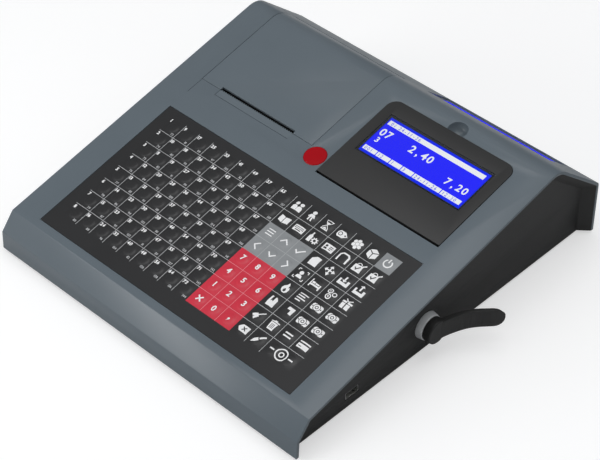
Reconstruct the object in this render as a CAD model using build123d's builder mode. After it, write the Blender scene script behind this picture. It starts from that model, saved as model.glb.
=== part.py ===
from build123d import *
import os
from math import acos, atan2, cos, degrees, pi, radians, sin, sqrt, tan

# Ticket register: a sloping counter-top case with a flat keyboard, a tilting operator display, a ticket
# printer under a hinged lid, a customer display in the rear slope and a waiter lock on the right wall.
# X runs to the operator's right, Y to the customer and Z up. The origin is the middle of the case's
# footprint on the counter. Lengths are millimetres and angles degrees.

# ---------------------------------------------------------------- driving dimensions

# Case section, from the front lip over the deck and down the rear slope
case_width = 324.0
case_depth = 343.0
foot_height = 3.0
lip_height = 16.3
lip_lean = 0.8
bevel_run = 12.3
bevel_rise = 15.1
deck_tilt = 13.0
crest_from_rear = 54.84
rear_tilt = 40.2
cover_wall = 2.5
crest_radius = 20.0
rear_radius = 5.0
edge_radius = 1.6

# Lower case and its side walls, which stand back from the ends of the cover
case_fit = 0.2
case_wall = 2.5
side_setback = 8.9
rim_drop = 10.5
rim_end_gap = 0.3
tray_edge = 6.0
foot_diameter = 16.0
foot_seat = 1.0
foot_from_side = 26.0
foot_from_front = 24.0
post_diameter = 9.0
boss_diameter = 7.6
post_top = 20.0
post_from_wall = 7.2
post_from_end = 21.5
case_screw_diameter = 3.0
case_screw_head = 6.0
case_screw_head_height = 2.2
case_screw_reach = 10.0

# Keyboard
keyboard_from_side = 25.9
keyboard_from_edge = 7.3
keyboard_from_crest = 130.0
key_border = 20.0
key_pitch = 15.5
key_grid_shift = -1.0
key_grid_rise = 3.0
dimple_diameter = 10.6
dimple_depth = 0.5
film_thickness = 0.8
film_recess = 0.2
film_gap = 0.4
film_ledge = 3.0
film_corner = 1.2
mat_thickness = 1.5
board_thickness = 1.6
backing_thickness = 1.5
frame_rib = 5.0

# Small pan-head screws
screw_diameter = 2.2
screw_head = 4.4
screw_head_height = 1.6
screw_length = 4.6
screw_fit = 0.03
screw_hole_fit = 0.1
press_fit = 0.01

# Operator display
display_x = 71.8
display_from_crest = 64.0
bezel_width = 125.8
bezel_length = 91.4
bezel_thickness = 3.0
bezel_rise = 0.5
bezel_corner = 9.0
bezel_gap = 0.4
window_width = 102.8
window_height = 40.0
window_from_crest = 54.2
glass_margin = 2.0
glass_thickness = 0.8
housing_inset = 3.9
housing_front = 3.9
housing_depth = 13.0
housing_wall = 2.0
housing_split = 8.5
hinge_from_edge = 3.0
hinge_depth = 2.6
hinge_pin_diameter = 2.0
hinge_pin_length = 7.2
hinge_ear_radius = 2.0
well_side_gap = 1.5
well_wall = 2.0
well_depth = 16.5
front_sweep_gap = 1.8
well_end_gap = 1.6
well_lug = 8.0
running_fit = 0.05

# Finger recess behind the display
finger_radius = 8.5
finger_from_crest = 14.3
finger_cup_wall = 2.0

# Printer lid
lid_x = -73.8
lid_width = 124.6
lid_from_crest = 92.9
lid_gap = 0.4
lid_hinge_along = 22.0
lid_barrel_radius = 4.0
lid_pin_diameter = 3.0
lid_pin_length = 11.6
lid_ear_width = 6.0
lid_ear_gap = 0.4
lid_flange = 2.0
lid_flange_depth = 8.0
seam_depth = 0.6
seam_from_crest = 109.7
slot_width = 81.9
slot_depth = 3.3
tear_bar_length = 6.0
tear_bar_thickness = 1.2
tear_bar_recess = 0.4
tear_tooth_pitch = 2.1
tear_tooth_depth = 1.1

# Platen and its bearings
platen_from_crest = 84.3
platen_below = 12.0
platen_radius = 5.0
platen_length = 81.0
shaft_diameter = 5.0
shaft_half_length = 56.0
arm_inner = 49.3
arm_thickness = 2.5
arm_half_width = 7.0
bush_diameter = 8.0

# Printer frame and paper roll
frame_inner = 41.0
frame_wall = 2.5
frame_top_gap = 4.5
frame_before_latch = 6.0
roll_from_rear = 83.5
roll_largest = 35.0
roll_roof_gap = 3.72
roll_width = 79.5
core_radius = 12.5
core_bore = 8.5
trough_gap = 3.0
trough_lift = 4.2
trough_wall = 2.2
paper_thickness = 0.25
paper_gap = 0.35
web_width = 79.0
notch_gap = 0.5
notch_flare = 2.0
frame_foot = 12.0
frame_foot_thickness = 3.0

# Gear train on the left of the printer frame
gear_module = 0.8
platen_teeth = 16
idler_teeth = 30
pinion_teeth = 12
gear_width = 4.0
gear_from_frame = 0.8
gear_backlash = 0.22
idler_stud_diameter = 3.0
pinion_direction = 215.0
motor_radius = 12.0
motor_length = 12.0
motor_shaft_diameter = 2.0
motor_boss_radius = 4.0
motor_ear_thickness = 1.0
motor_ear_radius = 3.2
motor_ear_reach = 4.0

frame_shoulder = 14.0
frame_back_from_crest = 20.3
frame_hinge_gap = 19.0
frame_behind_roll = 43.0
frame_foot_from_roll = (-62.0, 30.0)
seat_thickness = 2.0
trough_back_angle = 30.0
trough_front_rise = 33.0
slot_exit_in = 2.1
slot_exit_below = 5.0
paper_clear = 0.05

# Print head
head_direction = 195.0
head_width = 81.6
head_thickness = 1.0
head_above = 5.0
head_below = 9.0
sink_thickness = 3.0
head_spring_radius = 2.0
head_spring_wire = 0.6
head_spring_length = 5.0
head_spring_turns = 4

# Latch that holds the platen down, and the red button that works it
latch_before_platen = 18.0
latch_below = 22.0
latch_shaft_diameter = 5.0
hook_root_radius = 4.5
hook_arm_width = 4.0
hook_nose = 1.8
hook_inner = 52.6
hook_thickness = 2.5
hook_reach = 1.0
hook_gap = 0.35
latch_arm = 15.0
latch_nose_radius = 1.5
latch_nose_above = 1.7
lever_thickness = 3.0
lever_gap = 1.2
button_x = -2.0
button_from_crest = 99.7
button_diameter = 19.2
button_thickness = 3.0
button_rise = 0.5
button_dome = 0.6
button_gap = 0.15
button_travel = 3.0
button_stem_diameter = 8.0
button_cup_depth = 12.0
button_cup_wall = 1.6
button_foot_width = 6.0
button_foot_thickness = 2.5
button_foot_below = 18.5
button_foot_past_nose = 3.0
button_spring_radius = 6.0
button_spring_wire = 0.8
button_spring_turns = 4

# Customer display in the rear slope
customer_near = 30.0
customer_far = 67.0
customer_recess = 0.5
customer_glass = 1.2
customer_window_width = 99.0
customer_window_height = 24.0
customer_window_along = 48.0
customer_ledge = 4.0
customer_panel_thickness = 7.0
customer_gap = 0.3
bracket_thickness = 1.5
bracket_boss = 5.0
bracket_boss_x = 66.0
bracket_boss_along = 34.0

# Waiter lock and key on the right wall
lock_from_middle = 23.7
lock_z = 27.4
collar_radius = 11.8
collar_rim_radius = 10.8
collar_bore = 9.0
collar_length = 5.4
spigot_radius = 10.0
spigot_length = 6.5
lock_gap = 0.1
reader_depth = 14.0
reader_wall = 1.5
reader_flange = 2.5
contact_radius = 2.0
contact_length = 9.0
can_radius = 8.15
can_length = 5.9
key_head_radius = 10.3
key_head_length = 7.2
key_gap = 0.4
grip_height = 16.0
grip_root = 4.6
grip_tip = 2.8
grip_tip_radius = 7.5
# Outer face of the grip seen from above, root to tip, from the lock's middle on the wall's face
grip_run = [(12.6, -5.3), (13.4, 5.1), (16.4, 15.4), (21.1, 25.9), (28.6, 35.6), (34.1, 41.9), (37.5, 48.1)]

# Circuit boards and what stands on them
standoff_height = 4.0
standoff_diameter = 6.0
main_board_from_left = 40.6
main_board_from_right = 14.6
main_board_from_rear = 45.5
main_board_behind_side_board = 27.0
main_board_step = 122.0
step_from_lid = 85.8
port_board_from_left = 16.6
port_board_width = 212.0
port_board_from_rear = (30.5, 5.5)
side_board_size = (28.0, 29.0)
side_board_from_right = 0.6
side_board_from_front = 53.5
board_hole_inset = 4.0
narrow_hole_in = 82.0
capacitor_radius = 4.0
capacitor_height = 11.0
connector_width = 30.0
connector_length = 6.0
ribbon_thickness = 0.4
ribbon_width = 26.0
ribbon_bend = 3.0
ribbon_end_gap = 1.2
ribbon_slot_in = 16.4
ribbon_slot_width = 30.0
ribbon_slot_length = 6.0
backing_slot_length = 10.0
keyboard_ribbon_from_side = 41.0
keyboard_connector_in = 10.0
keyboard_ribbon_drop = 14.0
backing_gap = 0.1
display_connector_in = 16.0
display_ribbon_drop = 12.0
head_ribbon_from_lid = 11.8
head_connector_in = 7.0
head_ribbon_drop = 30.0

# Sockets
usb_width = 13.8
usb_height = 6.6
usb_depth = 14.0
usb_shell = 0.5
usb_tongue_width = 11.2
usb_tongue_height = 1.9
usb_tongue_rise = 1.0
usb_side_from_front = 67.9
port_gap = 0.3
port_face_recess = 0.4
network_from_edge = 56.0
network_size = (16.2, 13.4, 18.0)
network_mouth = (11.8, 8.2, 13.0)
drawer_from_edge = 34.0
drawer_size = (13.2, 12.2, 16.0)
drawer_mouth = (9.8, 7.0, 12.0)
usb_from_edge = (86.0, 106.0)
serial_from_edge = (138.0, 176.0)
serial_flange = (30.8, 12.5)
serial_shell = (17.0, 8.4)
serial_depth = 12.0
serial_shell_out = 5.8
serial_plate = 1.0
inlet_from_edge = 12.0
inlet_radius = 5.5
inlet_bore = 3.2
inlet_pin_radius = 1.0
inlet_depth = 14.0
chip_pin = 0.8
connector_height = 5.0
battery_radius = 10.0
battery_height = 3.2
battery_from_corner = (-96.0, -134.0)
converter_from_corner = (-58.0, -34.0)
converter_size = (70.0, 44.0)
converter_lift = 7.0
converter_pin_radius = 1.5
transformer_x = -14.0
transformer_size = (24.0, 24.0, 18.0)
coil_place = (12.0, -10.0)
coil_core_radius = 8.0
coil_core_height = 10.0
storage_y = 12.0
storage_step = 10.0
storage_radius = 4.5
storage_height = 14.0
cooler_corner = (24.0, -12.0)
cooler_width = 10.0
cooler_foot = 2.0
cooler_fins = 5
cooler_pitch = 4.0
cooler_fin = 1.5
cooler_height = 12.0
memory_from_corner = (-206.0, -154.0)
memory_size = (46.0, 34.0, 14.0)
beeper_from_corner = (-36.0, -126.0)
beeper_radius = 6.0
beeper_height = 8.0
vent_count = 9
vent_pitch = 6.0
vent_width = 2.2
vent_height = 18.0
vent_from_side = 38.6
vent_z = 26.0

# ---------------------------------------------------------------- the case's section

# A point of the section is a Vector of its Y and Z.
tilt = radians(deck_tilt)
slope = radians(rear_tilt)
front_y = -case_depth / 2
rear_y = case_depth / 2
deck_run = Vector(cos(tilt), sin(tilt))
deck_out = Vector(-sin(tilt), cos(tilt))
slope_run = Vector(cos(slope), -sin(slope))
slope_out = Vector(sin(slope), cos(slope))
lip_foot = Vector(front_y, foot_height)
lip_top = lip_foot + Vector(lip_lean, lip_height)
deck_front = lip_top + Vector(bevel_run, bevel_rise)
deck_length = (rear_y - crest_from_rear - deck_front.X) / cos(tilt)
crest = deck_front + deck_run * deck_length
slope_end = crest + slope_run * ((rear_y - crest.X) / slope_run.X)
rear_foot = Vector(rear_y, foot_height)
case_corners = [lip_foot, lip_top, deck_front, crest, slope_end, rear_foot]
left_end = -case_width / 2
side_wall_x = case_width / 2 - side_setback
inner_side_x = side_wall_x - case_wall
floor_top = foot_height + case_wall


def on_deck(along, above=0.0):
    """Section point on the deck, measured up it from its front edge."""
    return deck_front + deck_run * along + deck_out * above


def on_slope(along, above=0.0):
    """Section point on the rear slope, measured down it from the crest."""
    return crest + slope_run * along + slope_out * above


def deck_plane(x, along, above=0.0):
    """Plane on the deck: its X to the right, its Y up the deck, its Z out of the deck."""
    spot = on_deck(along, above)
    return Plane(origin=(x, spot.X, spot.Y), x_dir=(1, 0, 0), z_dir=(0, deck_out.X, deck_out.Y))


def slope_plane(x, along, above=0.0):
    """Plane on the rear slope: its X to the right, its Y up towards the crest, its Z out of the slope."""
    spot = on_slope(along, above)
    return Plane(origin=(x, spot.X, spot.Y), x_dir=(1, 0, 0), z_dir=(0, slope_out.X, slope_out.Y))


def moved_wall(start, end, inset):
    """A straight wall of the section as a point and a direction, moved inwards by inset."""
    run = (end - start).normalized()
    return start + Vector(run.Y, -run.X) * inset, run


def crossing(first, second):
    """Point where two walls, each a point and a direction, meet."""
    (p, d), (q, e) = first, second
    return p + d * ((q - p).cross(e).Z / d.cross(e).Z)


def section_points(inset, floor_z):
    """Corners of the case's section with every wall moved inwards by inset, cut off flat at floor_z."""
    walls = [moved_wall(a, b, inset) for a, b in zip(case_corners, case_corners[1:])]
    ground = (Vector(0, floor_z), Vector(1, 0))
    lines = [ground, *walls, ground]
    return [crossing(a, b) for a, b in zip(lines, lines[1:])]


def case_section(inset, floor_z):
    """The case's section as a sketch, its X along the case's Y and its Y along the case's Z."""
    small = max(edge_radius - inset, 0.4)
    radii = [0, small, small, crest_radius - inset, max(rear_radius - inset, 0.4), 0]
    with BuildSketch() as section:
        with BuildLine():
            FilletPolyline(*section_points(inset, floor_z), radius=radii, close=True)
        make_face()
    return section.sketch


def outline(*points):
    """A closed sketch through section points."""
    with BuildSketch() as shape:
        with BuildLine():
            Polyline(*points, close=True)
        make_face()
    return shape.sketch


def block(low, high, mode=Mode.ADD):
    """A box between two opposite corners."""
    size = [b - a for a, b in zip(low, high)]
    with Locations(low):
        Box(*size, align=(Align.MIN, Align.MIN, Align.MIN), mode=mode)


def slab(plane, width, length, thickness, mode=Mode.ADD):
    """A box whose top lies on a plane, centred on the plane's origin."""
    with Locations(plane):
        Box(width, length, thickness, align=(Align.CENTER, Align.CENTER, Align.MAX), mode=mode)


def rod(plane, radius, length, mode=Mode.ADD):
    """A round rod that stands on a plane."""
    with Locations(plane):
        Cylinder(radius, length, align=(Align.CENTER, Align.CENTER, Align.MIN), mode=mode)


def cross_plane(x, spot):
    """Plane across the case at a section point: its X along Y, its Y up, its Z to the right."""
    return Plane(origin=(x, spot.X, spot.Y), x_dir=(0, 1, 0), z_dir=(1, 0, 0))


os.makedirs("parts", exist_ok=True)


def save(piece, name):
    """Labels a finished piece and writes it."""
    piece.part.label = name
    export_step(piece.part, f"parts/{name}.step")


def coil(plane, radius, wire, height, turns):
    """A coil spring that stands on a plane."""
    path = Helix(pitch=(height - wire) / turns, height=height - wire, radius=radius)
    with BuildPart() as spring:
        with BuildSketch(Plane(origin=path @ 0, z_dir=path % 0)):
            Circle(wire / 2)
        sweep(path=path, is_frenet=True)
    return spring.part.moved(Location((0, 0, wire / 2))).moved(plane.location)


# ---------------------------------------------------------------- places that several pieces share

# The keyboard fills the deck in front of the display. A larger case has more rows and columns of keys
keyboard_width = case_width - 2 * keyboard_from_side
keyboard_length = deck_length - keyboard_from_edge - keyboard_from_crest
keyboard_along = keyboard_from_edge + keyboard_length / 2
key_columns = int((keyboard_width - key_border) / key_pitch)
key_rows = int((keyboard_length - key_border) / key_pitch)
key_grid_along = keyboard_along + key_grid_rise

# What stands behind the keyboard keeps its distance from the crest
display_along = deck_length - display_from_crest
window_along = deck_length - window_from_crest
finger_along = deck_length - finger_from_crest
lid_along = deck_length - lid_from_crest
seam_start = deck_length - seam_from_crest
platen_along = deck_length - platen_from_crest
latch_along = platen_along - latch_before_platen
button_along = deck_length - button_from_crest
frame_front_along = latch_along - frame_before_latch
frame_back_along = deck_length - frame_back_from_crest
slot_exit_along = lid_along + slot_exit_in

# The paper roll hangs under the deck, and is smaller where the tray's floor is too near
roll_y = rear_y - roll_from_rear
roof_z = crest.Y - (crest.X - roll_y) * tan(tilt) - cover_wall / cos(tilt)
roll_room = roof_z - roll_roof_gap - floor_top - trough_lift - trough_gap - trough_wall
roll_radius = min(roll_largest, roll_room / 2)
trough_radius = roll_radius + trough_gap
roll_z = roof_z - roll_roof_gap - roll_radius
frame_back_y = roll_y + frame_behind_roll

# The boards keep their distance from the walls, and their parts from a corner of the main board
main_board_left = main_board_from_left - inner_side_x
main_board_right = inner_side_x - main_board_from_right
main_board_back = rear_y - main_board_from_rear
main_board_step_y = main_board_back - main_board_step
main_board_step_x = lid_x + step_from_lid
port_board_left = port_board_from_left - inner_side_x
port_board_low = (port_board_left, rear_y - port_board_from_rear[0])
port_board_high = (port_board_left + port_board_width, rear_y - port_board_from_rear[1])
side_board_high = (inner_side_x - side_board_from_right, front_y + side_board_from_front + side_board_size[1])
side_board_low = (side_board_high[0] - side_board_size[0], side_board_high[1] - side_board_size[1])
main_board_front = side_board_high[1] + main_board_behind_side_board
board_corner = Vector(main_board_right, main_board_back)
network_x = port_board_left + network_from_edge
drawer_x = port_board_left + drawer_from_edge
usb_rear_x = [port_board_left + edge for edge in usb_from_edge]
serial_x = [port_board_left + edge for edge in serial_from_edge]
inlet_x = port_board_left + inlet_from_edge
vent_x = inner_side_x - vent_from_side
usb_side_y = front_y + usb_side_from_front
lock_y = -lock_from_middle
keyboard_ribbon_x = inner_side_x - keyboard_ribbon_from_side
keyboard_connector_y = main_board_front + keyboard_connector_in
display_connector_y = main_board_step_y + display_connector_in
head_ribbon_x = lid_x + head_ribbon_from_lid
head_connector_y = main_board_step_y - head_connector_in

opening_front = display_along - bezel_length / 2 - front_sweep_gap
opening_back = display_along + bezel_length / 2 + bezel_gap
display_front = display_along - bezel_length / 2
display_back_edge = display_along + bezel_length / 2
hinge_along = display_front + hinge_from_edge
bezel_underside = bezel_rise - bezel_thickness
housing_half = bezel_width / 2 - housing_inset
well_half = housing_half + well_side_gap
lid_half = lid_width / 2 - lid_gap
lid_hinge = on_slope(lid_hinge_along, -lid_barrel_radius)
platen = on_deck(platen_along, -platen_below)
roll = Vector(roll_y, roll_z)
latch = on_deck(latch_along, -latch_below)
platen_pitch_radius = gear_module * platen_teeth / 2
idler_pitch_radius = gear_module * idler_teeth / 2
pinion_pitch_radius = gear_module * pinion_teeth / 2
idler = platen - deck_out * (platen_pitch_radius + idler_pitch_radius)
pinion_angle = radians(pinion_direction) + tilt
pinion = idler + Vector(cos(pinion_angle), sin(pinion_angle)) * (idler_pitch_radius + pinion_pitch_radius)
frame_outer = frame_inner + frame_wall
gear_x = lid_x - frame_outer - gear_from_frame - gear_width
post_x = inner_side_x - post_from_wall
post_places = [
    (sx * post_x, y)
    for sx in (-1, 1)
    for y in (front_y + post_from_end, 0, rear_y - post_from_end)
]
foot_x = inner_side_x - foot_from_side
foot_places = [(0, 0)]
foot_places += [
    (sx * foot_x, y)
    for sx in (-1, 1)
    for y in (front_y + foot_from_front, rear_y - foot_from_front)
]
lock_spot = Vector(lock_y, lock_z)
board_z = floor_top + standoff_height
board_top = board_z + board_thickness

# The lid takes this stretch of the section out of the cover, with a gap all round
lid_stretch = [
    on_deck(lid_along, -cover_wall - 1),
    on_deck(lid_along, cover_wall),
    crest + Vector(0, crest_radius),
    on_slope(lid_hinge_along, cover_wall),
    on_slope(lid_hinge_along, -cover_wall - 1),
]
lid_opening = [
    on_deck(lid_along - lid_gap, -2 * lid_barrel_radius),
    on_deck(lid_along - lid_gap, cover_wall),
    crest + Vector(0, crest_radius),
    on_slope(lid_hinge_along + lid_barrel_radius + lid_gap, cover_wall),
    on_slope(lid_hinge_along + lid_barrel_radius + lid_gap, -2 * lid_barrel_radius),
]
ear_inner = lid_half + lid_ear_gap + lid_gap
ear_starts = [lid_x - ear_inner - lid_ear_width, lid_x + ear_inner]
slot_half = slot_width / 2

seam_length = lid_along - lid_gap - seam_start
seam_along = seam_start + seam_length / 2

# The display well hangs from four bosses under the deck
well_outer_half = well_half + well_wall
well_front = opening_front
well_back = opening_back - bezel_gap - well_end_gap
well_middle = (well_front + well_back) / 2
well_length = well_back - well_front
lug_x = well_outer_half - well_lug
lug_offset = well_length / 2 + well_wall + well_lug / 2
lug_places = [(display_x + sx * lug_x, well_middle + sy * lug_offset) for sx in (-1, 1) for sy in (-1, 1)]
boss_drop = 4.0
lug_thickness = 2.0
small_boss = 6.0
small_pilot = screw_diameter / 2 + screw_fit
screw_clearance = small_pilot + screw_hole_fit

# The keyboard's backing plate is screwed to a rib round the keyboard window
window_w = keyboard_width - 2 * film_ledge
window_l = keyboard_length - 2 * film_ledge
film_top = -film_recess
mat_top = film_top - film_thickness
board_top_in_deck = mat_top - mat_thickness
backing_top = board_top_in_deck - board_thickness
rib_w = window_w + 2 * frame_rib
rib_l = window_l + 2 * frame_rib
backing_screw_x = (rib_w - frame_rib) / 2
backing_screw_y = (rib_l - frame_rib) / 2
backing_screws = [
    (share * backing_screw_x, keyboard_along + side * backing_screw_y)
    for share in (-1, -1 / 3, 1 / 3, 1)
    for side in (-1, 1)
]
customer_length = customer_far - customer_near
customer_middle = (customer_near + customer_far) / 2
customer_depth = customer_recess + customer_glass
customer_half = bezel_width / 2

# Openings of the rear sockets: middle x, middle z, width, height
port_z = board_top
rear_ports = {
    "network": (network_x, port_z + network_size[1] / 2, network_size[0], network_size[1]),
    "drawer": (drawer_x, port_z + drawer_size[1] / 2, drawer_size[0], drawer_size[1]),
    "usb_left": (usb_rear_x[0], port_z + usb_height / 2, usb_width, usb_height),
    "usb_right": (usb_rear_x[1], port_z + usb_height / 2, usb_width, usb_height),
    "serial_left": (serial_x[0], port_z + serial_flange[1] / 2, serial_flange[0], serial_flange[1]),
    "serial_right": (serial_x[1], port_z + serial_flange[1] / 2, serial_flange[0], serial_flange[1]),
}
inlet_z = port_z + inlet_radius + 1

usb_side_z = board_top + usb_height / 2
customer_underside = -customer_depth - customer_panel_thickness
bracket_bosses = [display_x + side * bracket_boss_x for side in (-1, 1)]

# Screw holes of the boards
main_board_holes = [
    (x, y)
    for x in (main_board_left + board_hole_inset, main_board_right - board_hole_inset)
    for y in (main_board_front + board_hole_inset, main_board_step_y - board_hole_inset)
] + [
    (main_board_right - board_hole_inset, main_board_back - board_hole_inset),
    (main_board_step_x + board_hole_inset, main_board_back - board_hole_inset),
    (main_board_step_x + board_hole_inset, main_board_back - narrow_hole_in),
]
port_board_holes = [
    (x, port_board_low[1] + board_hole_inset)
    for x in (
        port_board_left + board_hole_inset, port_board_left + port_board_width / 3,
        port_board_left + 3 * port_board_width / 4, port_board_high[0] - board_hole_inset,
    )
]
side_board_holes = [
    (side_board_low[0] + board_hole_inset, y)
    for y in (side_board_low[1] + board_hole_inset, side_board_high[1] - board_hole_inset)
]
board_holes = main_board_holes + port_board_holes + side_board_holes

# The printer frame stands on four feet outside its side plates
frame_foot_x = [lid_x + side * (frame_outer + frame_foot / 2) for side in (-1, 1)]
frame_feet = [(x, roll_y + step) for x in frame_foot_x for step in frame_foot_from_roll]

# ---------------------------------------------------------------- top cover

with BuildPart() as top_cover:
    with BuildSketch(Plane.YZ.offset(left_end)):
        add(case_section(0, foot_height))
        add(case_section(cover_wall, foot_height), mode=Mode.SUBTRACT)
    extrude(amount=case_width)
    # Rib round the keyboard window
    slab(deck_plane(0, keyboard_along, -cover_wall / 2), rib_w, rib_l, -backing_top - cover_wall / 2)
    # Bosses over the lower case's posts
    for x, y in post_places:
        rod(Plane((x, y, post_top + case_fit)), boss_diameter / 2, case_depth / 2 - post_top)
    # Bosses for the display well
    for x, along in lug_places:
        slab(deck_plane(x, along, -cover_wall / 2), small_boss, small_boss, boss_drop + cover_wall / 2)
    # Bosses for the customer display's bracket
    for x in bracket_bosses:
        slab(
            slope_plane(x, bracket_boss_along, -cover_wall / 2), bracket_boss, bracket_boss,
            -customer_underside - cover_wall / 2,
        )
    # Cup that guides the red button
    rod(
        deck_plane(button_x, button_along, -button_cup_depth),
        button_diameter / 2 + button_gap + button_cup_wall, button_cup_depth,
    )
    # Cup of the finger recess
    with Locations(deck_plane(display_x, finger_along)):
        Sphere(finger_radius + finger_cup_wall)
    # Ears that carry the lid's hinge pins
    for x in ear_starts:
        with BuildSketch(Plane.YZ.offset(x)):
            add(outline(
                on_slope(lid_hinge_along - lid_barrel_radius, -cover_wall / 2),
                on_slope(lid_hinge_along + lid_barrel_radius, -cover_wall / 2),
                on_slope(lid_hinge_along + lid_barrel_radius, -2 * lid_barrel_radius),
                on_slope(lid_hinge_along - lid_barrel_radius, -2 * lid_barrel_radius),
            ))
        extrude(amount=lid_ear_width)
    # Whatever stands out of the case's section is trimmed away
    with BuildSketch(Plane.YZ.offset(left_end)):
        Rectangle(2 * case_depth, 2 * case_depth)
        add(case_section(0, -case_depth), mode=Mode.SUBTRACT)
    extrude(amount=case_width, mode=Mode.SUBTRACT)
    # Keyboard recess and window
    slab(
        deck_plane(0, keyboard_along, 1), keyboard_width + 2 * film_gap, keyboard_length + 2 * film_gap,
        1 - mat_top, Mode.SUBTRACT,
    )
    slab(deck_plane(0, keyboard_along), window_w, window_l, 2 * cover_wall + 1, Mode.SUBTRACT)
    # Display opening, then the finger bowl that runs into it
    with BuildSketch(deck_plane(display_x, (opening_front + opening_back) / 2, cover_wall)):
        Rectangle(bezel_width + 2 * bezel_gap, opening_back - opening_front)
        fillet(vertices().group_by(Axis.Y)[-1], radius=bezel_corner + bezel_gap)
    extrude(amount=-button_cup_depth - 2 * cover_wall, mode=Mode.SUBTRACT)
    with Locations(deck_plane(display_x, finger_along)):
        Sphere(finger_radius, mode=Mode.SUBTRACT)
    # Lid opening, with the tear bar's seat in front of it
    with BuildSketch(Plane.YZ.offset(lid_x - lid_width / 2)):
        add(outline(*lid_opening))
    extrude(amount=lid_width, mode=Mode.SUBTRACT)
    slab(
        deck_plane(lid_x, lid_along - lid_gap - tear_bar_length / 2, 1), slot_width,
        tear_bar_length + 1, 1 + tear_bar_recess + tear_bar_thickness, Mode.SUBTRACT,
    )
    for x in ear_starts:
        rod(cross_plane(x - 1, lid_hinge), lid_pin_diameter / 2 + press_fit, lid_ear_width + 2, Mode.SUBTRACT)
    # Red button's hole and the bore for its stem
    rod(
        deck_plane(button_x, button_along, -button_cup_depth + button_cup_wall),
        button_diameter / 2 + button_gap, button_cup_depth + 1, Mode.SUBTRACT,
    )
    rod(
        deck_plane(button_x, button_along, -button_cup_depth - 1),
        button_stem_diameter / 2 + button_gap, button_cup_depth, Mode.SUBTRACT,
    )
    # Customer display's recess and window
    slab(
        slope_plane(display_x, customer_middle, 1), 2 * customer_half, customer_length,
        1 + customer_depth, Mode.SUBTRACT,
    )
    slab(
        slope_plane(display_x, customer_middle), 2 * (customer_half - customer_ledge),
        customer_length - 2 * customer_ledge, 2 * cover_wall, Mode.SUBTRACT,
    )
    # Rear sockets
    for x, z, width, height in rear_ports.values():
        block(
            (x - width / 2 - port_gap, rear_y - 2 * cover_wall, z - height / 2 - port_gap),
            (x + width / 2 + port_gap, rear_y + 1, z + height / 2 + port_gap), Mode.SUBTRACT,
        )
    rod(
        Plane((inlet_x, rear_y - 2 * cover_wall, inlet_z), z_dir=(0, 1, 0)), inlet_radius + port_gap,
        3 * cover_wall, Mode.SUBTRACT,
    )
    # Vents in the rear wall
    with Locations((vent_x, rear_y, vent_z)):
        with GridLocations(vent_pitch, 0, vent_count, 1):
            Box(vent_width, 4 * cover_wall, vent_height, mode=Mode.SUBTRACT)
    # Pilot holes for the screws
    for x, y in post_places:
        rod(Plane((x, y, post_top)), case_screw_diameter / 2 + screw_fit, case_screw_reach, Mode.SUBTRACT)
    for x, along in lug_places:
        rod(deck_plane(x, along, -cover_wall - boss_drop), small_pilot, boss_drop, Mode.SUBTRACT)
    for x, along in backing_screws:
        rod(
            deck_plane(x, along, backing_top), small_pilot, screw_length - backing_thickness + 0.2,
            Mode.SUBTRACT,
        )
    for x in bracket_bosses:
        rod(slope_plane(x, bracket_boss_along, customer_underside), small_pilot, screw_length, Mode.SUBTRACT)
    # Seam that carries the lid's left edge on to the keyboard
    slab(deck_plane(lid_x - lid_half, seam_along, 1), lid_gap, seam_length, 1 + seam_depth, Mode.SUBTRACT)
save(top_cover, "top_cover")

# ---------------------------------------------------------------- lower case

section_inset = cover_wall + case_fit
with BuildPart() as lower_case:
    with BuildSketch(Plane.YZ.offset(left_end + rim_end_gap)):
        add(case_section(section_inset, foot_height))
    extrude(amount=case_width - 2 * rim_end_gap)
    # Everything between the side walls is cut away down to a tray
    inner_front = front_y + cover_wall + case_fit + case_wall
    inner_rear = rear_y - cover_wall - case_fit - case_wall
    block((-inner_side_x, inner_front + 1, floor_top), (inner_side_x, inner_rear, case_depth), Mode.SUBTRACT)
    block(
        (-inner_side_x, front_y, foot_height + tray_edge), (inner_side_x, rear_y, case_depth),
        Mode.SUBTRACT,
    )
    # The side walls stand back behind flared rims
    for side in (-1, 1):
        with BuildSketch(Plane.YZ.offset(side * side_wall_x)):
            add(case_section(rim_drop, -foot_height))
        with BuildSketch(Plane.YZ.offset(side * (case_width / 2 - rim_end_gap))):
            add(case_section(section_inset + rim_end_gap, -foot_height))
        loft(mode=Mode.SUBTRACT)
    # Posts for the case screws, seats for the feet
    for x, y in post_places:
        rod(Plane((x, y, foot_height)), post_diameter / 2, post_top - foot_height)
        rod(Plane((x, y, 0)), case_screw_diameter / 2 + 3 * screw_fit, case_depth, Mode.SUBTRACT)
        rod(
            Plane((x, y, 0)), case_screw_head / 2 + 0.3,
            foot_height + case_wall + case_screw_head_height, Mode.SUBTRACT,
        )
    for x, y in foot_places:
        rod(Plane((x, y, 0)), foot_diameter / 2, foot_height + foot_seat, Mode.SUBTRACT)
    # Stand-offs for the boards, and pilot holes in them and under the printer frame
    for x, y in board_holes:
        rod(Plane((x, y, floor_top)), standoff_diameter / 2, standoff_height)
        rod(
            Plane((x, y, board_z - screw_length + board_thickness - 0.3)), small_pilot, screw_length,
            Mode.SUBTRACT,
        )
    for x, y in frame_feet:
        rod(
            Plane((x, y, floor_top + frame_foot_thickness - screw_length - 0.2)), small_pilot,
            screw_length, Mode.SUBTRACT,
        )
    # USB window and lock hole in the right wall
    block((inner_side_x - 1, usb_side_y - usb_width / 2 - port_gap, usb_side_z - usb_height / 2 - port_gap),
          (
              side_wall_x + 1, usb_side_y + usb_width / 2 + port_gap,
              usb_side_z + usb_height / 2 + port_gap,
          ), Mode.SUBTRACT)
    rod(cross_plane(inner_side_x - 1, lock_spot), spigot_radius + lock_gap, case_wall + 2, Mode.SUBTRACT)
save(lower_case, "lower_case")

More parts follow.
